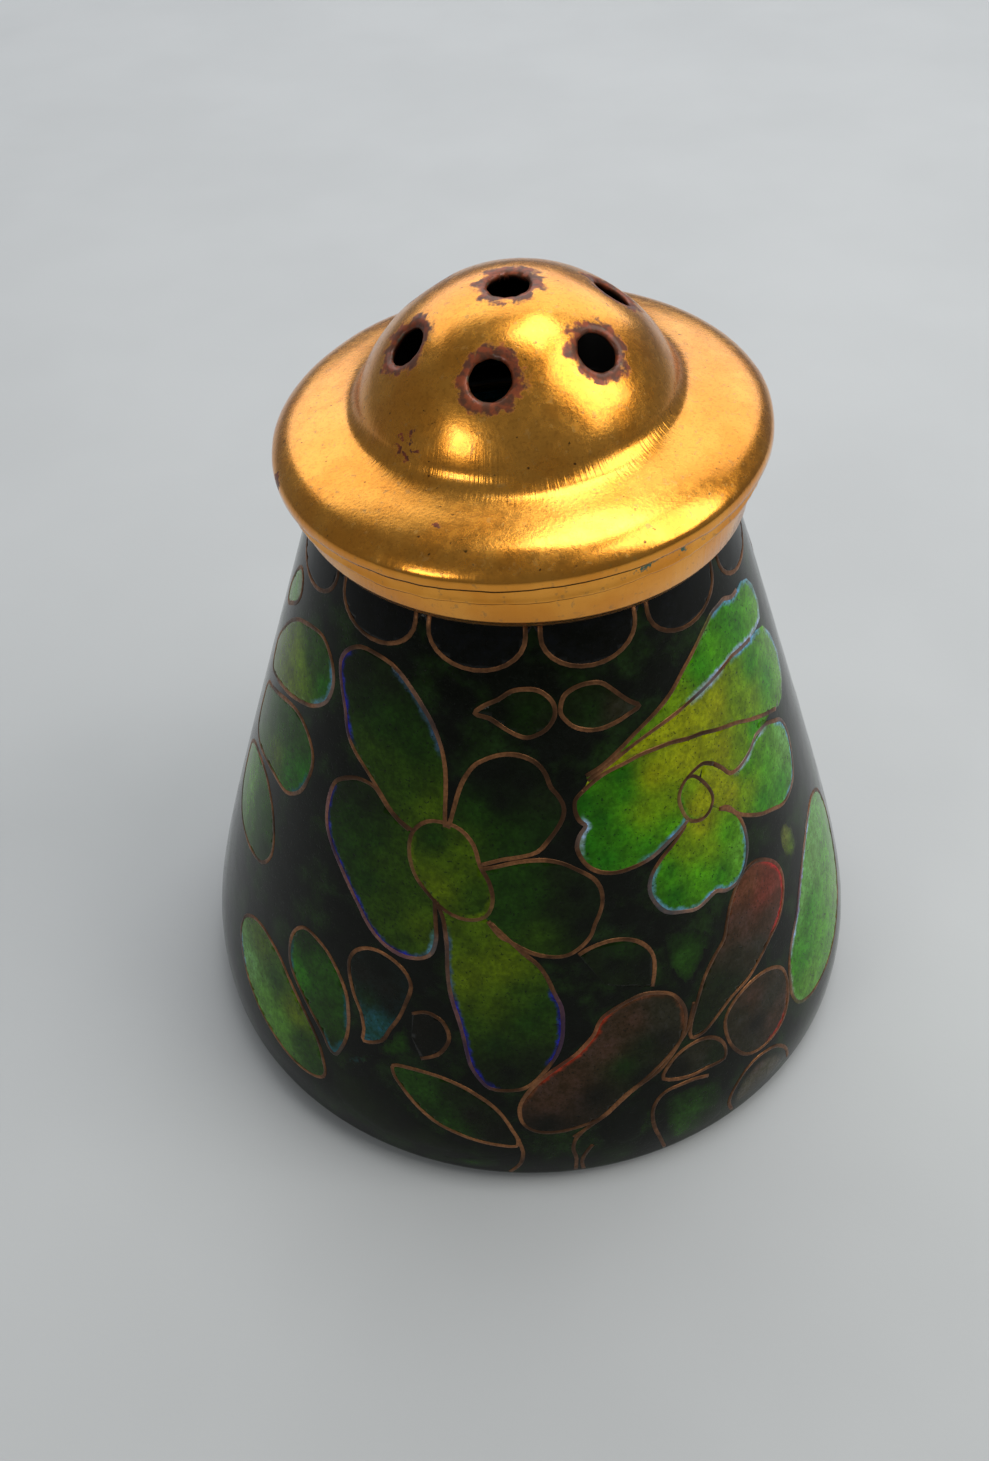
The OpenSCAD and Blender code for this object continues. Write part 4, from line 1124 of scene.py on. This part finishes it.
bm = bmesh.new()
scallop = [(turn, z * FULL_COUNT / (WALL_TOP - SCALLOP_H)) for turn, z in scallop_path(6)]
fill_field(bm, cell(scallop, [(half_place, 88, "ink")]), FIELD_DEPTH)
around_collar(bm)
finish_piece(bm, "scallop_fields", black_glass, "shaker", "scallop_enamel", tidy=False)

# %% [markdown]
# ## Gilt brass
# The cap, its skirt, the collar and the foot ring are brass with a thin gilding. The pressed top is
# covered with fine pits and specks, the turned edges are polished and show fine lines, and the bare
# brass at the holes has gone purple and green. The pieces carry all this as attributes: `worn` where
# they are polished, `hole` for the distance to the nearest hole in millimetres, `stain` and `green` for
# single spots, `inside` for the inner side, which is painted near black as shade, `drawn` where drawing
# lines show, and `spoke`, a direction from the axis that stretches those lines along the spokes.

# %% Gilt brass: gold
GOLD_TONES = linear(226, 146, 46), linear(240, 164, 62)
PIT_TONE, SPECK_TONE = linear(120, 62, 16), linear(62, 28, 18)

gilt, tree, shader, place = new_finish("gilt_brass")
gold = blend_colours(tree, patches(tree, place, 3.0, 0.35, 0.65), *GOLD_TONES)
worn = attribute(tree, "worn")["Fac"]
pitted = maths(tree, "SUBTRACT", 1.0, worn)
worms = grain(tree, place, 0.16, 2, 0.5)
pits = times(tree, span(tree, worms, 0.52, 0.66), times(tree, pitted, 0.2))
dots = patches(tree, place, 0.3, 0.7, 0.76, detail=2, rough=0.5)
specks = times(tree, dots, times(tree, pitted, 0.85))
pocked = blend_colours(tree, pits, gold, PIT_TONE)
speckled = blend_colours(tree, specks, pocked, SPECK_TONE)
print("gilding:", gilt.name)

# %% Gilt brass: tarnish
TARNISH_TONES = linear(58, 14, 22), linear(124, 44, 24)
VERDIGRIS_TONE, INSIDE_SHADE_TONE = linear(66, 104, 84), linear(20, 14, 10)

ragged = patches(tree, place, 0.7, 0.3, 0.7, -0.32, 0.32, 4, 0.6)
hole_line = maths(tree, "ADD", attribute(tree, "hole")["Fac"], ragged)
blot_edge = patches(tree, place, 0.4, 0.3, 0.7, -0.4, 0.4)
blots = maths(tree, "ADD", attribute(tree, "stain")["Fac"], blot_edge)
dark = maths(
    tree, "MAXIMUM", span(tree, hole_line, 0.45, 0.8, 1.0, 0.0), span(tree, blots, 0.4, 0.55)
)
purple = blend_colours(tree, patches(tree, place, 0.45, 0.4, 0.62), *TARNISH_TONES)
browned = blend_colours(tree, times(tree, dark, 0.92), speckled, purple)
bloom_edge = patches(tree, place, 0.35, 0.3, 0.7, -0.5, 0.3)
bloom = maths(tree, "ADD", attribute(tree, "green")["Fac"], bloom_edge)
green = maths(
    tree, "MAXIMUM", span(tree, hole_line, -0.4, -0.15, 1.0, 0.0), span(tree, bloom, 0.2, 0.5)
)
shaded = blend_colours(tree, green, browned, VERDIGRIS_TONE)
# The inner side of the cap and of the neck tube is painted near black as shade.
painted_inside_shade = attribute(tree, "inside")["Fac"]
feed(tree, shader, base_color=blend_colours(tree, painted_inside_shade, shaded, INSIDE_SHADE_TONE))
print("tarnish and verdigris added")

# %% Gilt brass: polish
# Tarnish, verdigris and the painted inside shade make the metal less metallic and rougher.
stains_and_shade = maths(tree, "MAXIMUM", maths(tree, "MAXIMUM", dark, green), painted_inside_shade)
base_rough = patches(tree, place, 0.5, 0.3, 0.7, 0.21, 0.29, 4)
polish = maths(tree, "SUBTRACT", base_rough, times(tree, worn, 0.1))
feed(tree, shader, metallic=span(tree, stains_and_shade, 0, 1, 1.0, 0.5))
feed(tree, shader, roughness=maths(tree, "ADD", polish, times(tree, stains_and_shade, 0.3)))
feed(tree, shader, coat_weight=0.3, coat_roughness=0.18)
emboss(tree, shader, times(tree, worms, pitted), 0.01, 0.6)
spokes = attribute(tree, "spoke")["Vector"]
draw_lines = add(tree, "TexNoise", {"Vector": spokes, "Scale": 60.0, "Detail": 2.0}).outputs["Fac"]
drawn = maths(tree, "MAXIMUM", worn, attribute(tree, "drawn")["Fac"])
emboss(tree, shader, times(tree, draw_lines, drawn), 0.03, 0.9)
print("gilt brass has", len(tree.nodes), "nodes")

# %% [markdown]
# ## The neck collar and the foot
# The collar is a flange on the shoulder with the tube that the cap pushes onto. The foot ring carries
# the shaker, with turquoise counter-enamel inside and around it. Both are spun from profiles whose
# edges are broken by small bevels, as a turner breaks them.

# %% Writing what the gilt finish reads
FAR_FROM_HOLES = 9.0
SPOKE_PITCH = 0.004


def nearness(place, spots):
    """One at the middle of the nearest spot, nothing at its edge. A spot is a place and a size."""
    return max([0.0] + [1 - (place - spot).length / size for spot, size in spots])


def brass_layers(bm, worn_at, hole_at=None, spots=(), greens=(), inside_at=None, drawn_at=None):
    """Writes what the gilt finish reads onto every point."""
    names = ("worn", "hole", "stain", "green", "inside", "drawn")
    worn, hole, stain, green, inside, drawn = (bm.verts.layers.float.new(name) for name in names)
    spoke = bm.verts.layers.float_vector.new("spoke")
    for vert in bm.verts:
        vert[worn] = worn_at(vert.co)
        vert[hole] = hole_at(vert.co) if hole_at else FAR_FROM_HOLES
        vert[stain] = nearness(vert.co, spots)
        vert[green] = nearness(vert.co, greens)
        vert[inside] = inside_at(vert) if inside_at else 0.0
        vert[drawn] = drawn_at(vert.co) if drawn_at else 0.0
        flat = vert.co.xy.normalized() if vert.co.xy.length > 1e-6 else Vector((1, 0))
        vert[spoke] = (flat.x, flat.y, vert.co.z * SPOKE_PITCH)


print("a point far from the holes reads", FAR_FROM_HOLES)

# %% Neck collar
NECK_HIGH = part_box("neck_collar")[1] / MM
NECK_R, NECK_TOP, NECK_T = NECK_HIGH.x, NECK_HIGH.z, 0.6
NECK_IN = NECK_R - NECK_T
FLANGE_IN = min((v.co / MM).xy.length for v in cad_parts["neck_collar"].data.vertices)
FLANGE_R, FLANGE_T = SHOULDER_R + 0.41, 0.6
RING_STEPS = 160

bm = bmesh.new()
spin_profile(bm, [
    (FLANGE_IN, WALL_TOP), (FLANGE_R - 0.05, WALL_TOP), (FLANGE_R, WALL_TOP + 0.06),
    (NECK_R - 0.08, WALL_TOP + 0.45), (NECK_R, WALL_TOP + 0.62), (NECK_R, NECK_TOP - 0.12),
    (NECK_R - 0.1, NECK_TOP), (NECK_IN + 0.1, NECK_TOP), (NECK_IN, NECK_TOP - 0.1),
    (NECK_IN, WALL_TOP + 0.7), (NECK_IN - 0.1, WALL_TOP + FLANGE_T), (FLANGE_IN, WALL_TOP + FLANGE_T),
], RING_STEPS)
brass_layers(
    bm, lambda co: 0.8,
    # the inside of the tube is painted dark as shade
    inside_at=lambda vert: float(vert.co.xy.length < NECK_R - NECK_T / 2 and vert.co.z > WALL_TOP),
)
finish_piece(bm, "neck_collar_turned", gilt, "shaker", "neck_collar")

# %% Foot ring
RING_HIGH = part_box("foot_ring")[1] / MM
RING_R, RING_H, RING_EDGE = RING_HIGH.x, RING_HIGH.z, 0.2
RING_IN = RING_R - 1.2

bm = bmesh.new()
spin_profile(bm, [
    (RING_IN, RING_H), (RING_IN, RING_EDGE), (RING_IN + RING_EDGE, 0.0),
    (RING_R - RING_EDGE, 0.0), (RING_R, RING_EDGE), (RING_R, RING_H),
], RING_STEPS)
brass_layers(bm, lambda co: 0.7)
finish_piece(bm, "foot_ring_turned", gilt, "shaker", "foot_ring")

# %% [markdown]
# ## The cap
# The cap is one sheet of brass, pressed over a former into a dome, a cove and a brim, then punched.
# Its profile is spun in fine steps. Faces inside each hole are removed and the edge is drawn onto a
# true circle, the metal around it is pressed down a little as a punch does, and the sheet gets its
# thickness at the end. A boolean could cut the holes, but its edge would not round over.

# %% Cap frame and profile
CAP_TILT, CAP_SIDE = math.radians(3.6), math.radians(25)
CAP_H, CAP_T, BRIM_DROP, SKIRT_H, SKIRT_TOP = 7.5, 0.45, 0.9, 2.1, -0.5
SKIRT_GAP, SKIRT_T = 0.15, 0.4
SKIRT_IN = NECK_R + SKIRT_GAP
SKIRT_OUT = SKIRT_IN + SKIRT_T
BRIM_R = SKIRT_OUT + CAP_T
DOME_R, COVE_Z = BRIM_R - 4.95, 2.0
DOME_STEPS, PROFILE_STEP = 40, 0.14

skirt_low, skirt_high = (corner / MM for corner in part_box("cap_skirt"))
cap_turn = (
    Matrix.Rotation(CAP_SIDE, 4, "Z")
    @ Matrix.Rotation(-CAP_TILT, 4, "Y")
    @ Matrix.Rotation(-CAP_SIDE, 4, "Z")
)
skirt_centre = cap_turn @ Vector((0, 0, (SKIRT_TOP - SKIRT_H) / 2))
cap_place = Matrix.Translation((skirt_low + skirt_high) / 2 - skirt_centre) @ cap_turn
print("the cap's seat is at", [round(c, 3) for c in cap_place.translation], "mm")


def dome_z(radius):
    return COVE_Z + (CAP_H - COVE_Z) * (1 - min(1.0, radius / DOME_R) ** 2.2) ** 0.8


def even_line(points, step):
    """The same line with points at even distances."""
    points = np.array(points, float)
    gaps = np.linalg.norm(np.diff(points, axis=0), axis=1)
    run = np.concatenate([[0], np.cumsum(gaps)])
    marks = np.linspace(0, run[-1], int(run[-1] / step) + 1)
    return np.stack([np.interp(marks, run, points[:, k]) for k in (0, 1)], axis=1)


dome_radii = [DOME_R * math.sin(math.pi / 2 * i / DOME_STEPS) for i in range(DOME_STEPS - 1)]
dome_part = [(radius, dome_z(radius)) for radius in dome_radii]
brim_part = smooth_line([
    dome_part[-1], (DOME_R + 0.25, 1.72), (DOME_R + 0.7, 1.42), (DOME_R + 1.5, 1.2),
    (BRIM_R - 2.3, 0.95), (BRIM_R - 1.3, 0.66), (BRIM_R - 0.6, 0.28), (BRIM_R - 0.15, -0.15),
    (BRIM_R, -0.5), (BRIM_R, -BRIM_DROP),
], 6, False)
cap_line = even_line(np.array(dome_part[:-1] + [tuple(p) for p in brim_part]), PROFILE_STEP)
print("the cap's profile has", len(cap_line), "points")

# %% Cap holes
HOLE_R, HOLE_COUNT, HOLE_PHASE, HOLE_SLOPE, HOLE_INSET = 1.05, 6, -103, math.radians(38), 2.8
HOLE_SWAY, HOLE_SWAY_RATE, OTHER_SIDE = 0.05, 2.5, -2

ring_r = DOME_R - HOLE_INSET
HOLES = [(Vector((0, 0, CAP_H)), Vector((0, 0, 1)))]
for i in range(HOLE_COUNT):
    turn = Matrix.Rotation(math.radians(HOLE_PHASE + 360 * i / HOLE_COUNT), 3, "Z")
    tip = Vector((math.sin(HOLE_SLOPE), 0, math.cos(HOLE_SLOPE)))
    HOLES.append((turn @ Vector((ring_r, 0, dome_z(ring_r))), turn @ tip))


def hole_side(place, point, axis):
    """The part of a place's offset from a hole's middle that is square to the hole."""
    offset = place - point
    return offset - axis * offset.dot(axis)


def hole_gap(place, point, axis):
    """Distance from a place to a hole's wall, less than nothing inside it."""
    if (place - point).dot(axis) < OTHER_SIDE:
        return FAR_FROM_HOLES
    side = hole_side(place, point, axis)
    ragged = 1 + HOLE_SWAY * noise.noise(side.normalized() * HOLE_SWAY_RATE + point)
    return side.length - HOLE_R * ragged


def nearest_hole(place):
    return min(hole_gap(place, point, axis) for point, axis in HOLES)


print(len(HOLES), "holes,", HOLE_R * 2, "mm wide")

# %% Cap dome
CAP_STEPS = 288
PUNCH_REACH, LIP_DIP, LIP_WIDTH, HOLLOW_DIP, HOLLOW_WIDTH = 1.5, 0.16, 0.16, 0.05, 0.6
LIP_RISE, LIP_BAND = 1.2, 1.5
LIP_WAVES = [(0, 0.35, 0.12), (5, 1.1, 0.05)]  # a layer of noise, its rate and its height
DENT, DENT_RATE, SKIN_INSET = 0.05, 0.28, 0.05

bm = bmesh.new()
spin_profile(bm, cap_line, CAP_STEPS, closed=False)
if sum(f.normal.z for f in bm.faces) < 0:
    bmesh.ops.reverse_faces(bm, faces=bm.faces)
gone = [f for f in bm.faces if nearest_hole(f.calc_center_median()) < 0]
bmesh.ops.delete(bm, geom=gone, context="FACES")
for vert in {v for e in bm.edges if e.is_boundary for v in e.verts if v.co.z > 0}:
    point, axis = min(HOLES, key=lambda hole: abs(hole_gap(vert.co, *hole)))
    side = hole_side(vert.co, point, axis)
    vert.co -= side.normalized() * hole_gap(vert.co, point, axis)
    vert.co.z = dome_z(vert.co.xy.length)
for vert in bm.verts:
    gap = nearest_hole(vert.co)
    if gap < PUNCH_REACH:
        point, axis = min(HOLES, key=lambda hole: hole_gap(vert.co, *hole))
        near_lip = LIP_DIP * math.exp(-max(gap, 0) / LIP_WIDTH)
        vert.co -= axis * (near_lip + HOLLOW_DIP * math.exp(-max(gap, 0) / HOLLOW_WIDTH))
    at_lip = vert.co.xy.length > BRIM_R - LIP_BAND
    lip = max(0.0, 1 - (vert.co.z + BRIM_DROP) / LIP_RISE) if at_lip else 0.0
    vert.co.z += lip * sum(
        noise.noise(Vector((vert.co.x, vert.co.y, layer)) * rate) * height
        for layer, rate, height in LIP_WAVES
    )
    dent = noise.noise(vert.co * DENT_RATE) * DENT
    vert.co -= vert.co.normalized() * (dent + SKIN_INSET)
bmesh.ops.recalc_face_normals(bm, faces=bm.faces)
if bm.faces[0].normal.z < 0:
    bmesh.ops.reverse_faces(bm, faces=bm.faces)
bmesh.ops.solidify(bm, geom=bm.faces[:], thickness=CAP_T)
bm.normal_update()
print("the sheet is", CAP_T, "mm thick")

# %% Cap finish
HEART, INWARD = Vector((0, 0, -4)), -0.1
EDGE_WORN = 0.4


def at_turn(turn, radius, lift):
    """A spot on the cap at a turn from the front and a radius."""
    angle = math.radians(turn)
    return Vector((radius * math.sin(angle), -radius * math.cos(angle), lift))


STAINS = [
    (at_turn(-24, 11.2, 1.25), 0.55), (at_turn(28, 11.2, 1.25), 0.45),
    (at_turn(-74, BRIM_R, -0.4), 0.9), (at_turn(-44, 8.6, 3.0), 1.3), (at_turn(8, 14.0, -0.2), 0.4),
    (at_turn(60, 12.5, 0.8), 0.3),
]
brass_layers(
    bm, lambda co: min(1.0, max(0.0, -co.z / EDGE_WORN)) if co.xy.length > BRIM_R - LIP_BAND else 0.0,
    nearest_hole, STAINS,
    # the cap's inner side is painted dark as shade
    inside_at=lambda vert: float(vert.normal.dot((vert.co - HEART).normalized()) < INWARD),
    drawn_at=lambda co: max(0.0, 1 - abs(co.xy.length - DOME_R - 0.2)),
)
bmesh.ops.transform(bm, matrix=cap_place, verts=bm.verts)
finish_piece(bm, "cap_pressed_top", gilt, "cap", "cap_dome")

# %% [markdown]
# ## The cap's skirt
# A plain ring soldered inside the brim slips over the neck. Its lower edge has been cut by hand, so it
# is ragged and slightly rolled outwards. A dark line is painted round it just under the brim, and it
# has a few spots of verdigris.

# %% Cap skirt
SKIRT_STEPS, ROLL = 240, 0.06
RAGGED_FROM, RAGGED_LIFT = -1.1, 0.07
RAGGED_WAVES = [(0.5, 0.14), (2.2, 0.09)]  # the rate and the height of each wave
DARK_LINE_Z, DARK_LINE_HALF, DARK_LINE_STRENGTH = -0.95, 0.1, 0.5
GREEN_TURNS, GREEN_SIZE = (0.42, 0.6, 0.72, 2.2, 4.0), 0.9  # in radians

bm = bmesh.new()
spin_profile(bm, [
    (SKIRT_IN, SKIRT_TOP), (SKIRT_IN, -1.2), (SKIRT_IN, -SKIRT_H + 0.1), (SKIRT_IN + 0.1, -SKIRT_H),
    (SKIRT_OUT - 0.05, -SKIRT_H), (SKIRT_OUT + ROLL, -SKIRT_H + 0.08),
    (SKIRT_OUT + ROLL, -SKIRT_H + 0.2), (SKIRT_OUT, -SKIRT_H + 0.32), (SKIRT_OUT, -1.2),
    (SKIRT_OUT, -1.04), (SKIRT_OUT, -0.96), (SKIRT_OUT, -0.86), (SKIRT_OUT, SKIRT_TOP),
], SKIRT_STEPS)
for vert in bm.verts:
    low = max(0.0, (RAGGED_FROM - vert.co.z) / (SKIRT_H + RAGGED_FROM))
    flat = Vector((vert.co.x, vert.co.y, 0))
    ragged = sum(height * noise.noise(flat * rate) for rate, height in RAGGED_WAVES)
    vert.co.z += low * (ragged + RAGGED_LIFT)
greens = [(at_turn(math.degrees(a), SKIRT_OUT, DARK_LINE_Z), GREEN_SIZE) for a in GREEN_TURNS]
brass_layers(bm, lambda co: 1.0, greens=greens)
# A dark line is painted round the skirt just under the brim, through the stain layer.
dark_line_layer = bm.verts.layers.float["stain"]
for vert in bm.verts:
    if abs(vert.co.z - DARK_LINE_Z) < DARK_LINE_HALF:
        vert[dark_line_layer] = DARK_LINE_STRENGTH
bmesh.ops.transform(bm, matrix=cap_place, verts=bm.verts)
finish_piece(bm, "cap_skirt_ring", gilt, "cap", "cap_skirt")

# %% [markdown]
# ## Pieces kept from the solid model
# The copper shell, the plate and the enamel inside hardly show. Their shapes are right as they are, so
# they stay and only get a finish.

# %% Hidden pieces
COPPER_TONES = linear(160, 92, 62), linear(196, 122, 84)

sheet_copper, tree, shader, place = new_finish("sheet_copper")
copper = blend_colours(tree, patches(tree, place, 2.0, 0.35, 0.65), *COPPER_TONES)
feed(tree, shader, base_color=copper, metallic=1.0, roughness=0.4)
emboss(tree, shader, grain(tree, place, 0.3, 3), 0.02, 0.4)
for name, finish in (
    ("copper_body", sheet_copper), ("base_plate", sheet_copper),
    ("lining_enamel", counter_glass), ("base_enamel", counter_glass),
):
    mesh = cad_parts[name].data
    mesh.materials.clear()
    mesh.materials.append(finish)
    print(name, "keeps its solid shape")

low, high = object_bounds()
print("the visible model is", [round(side / MM, 2) for side in high - low], "mm")
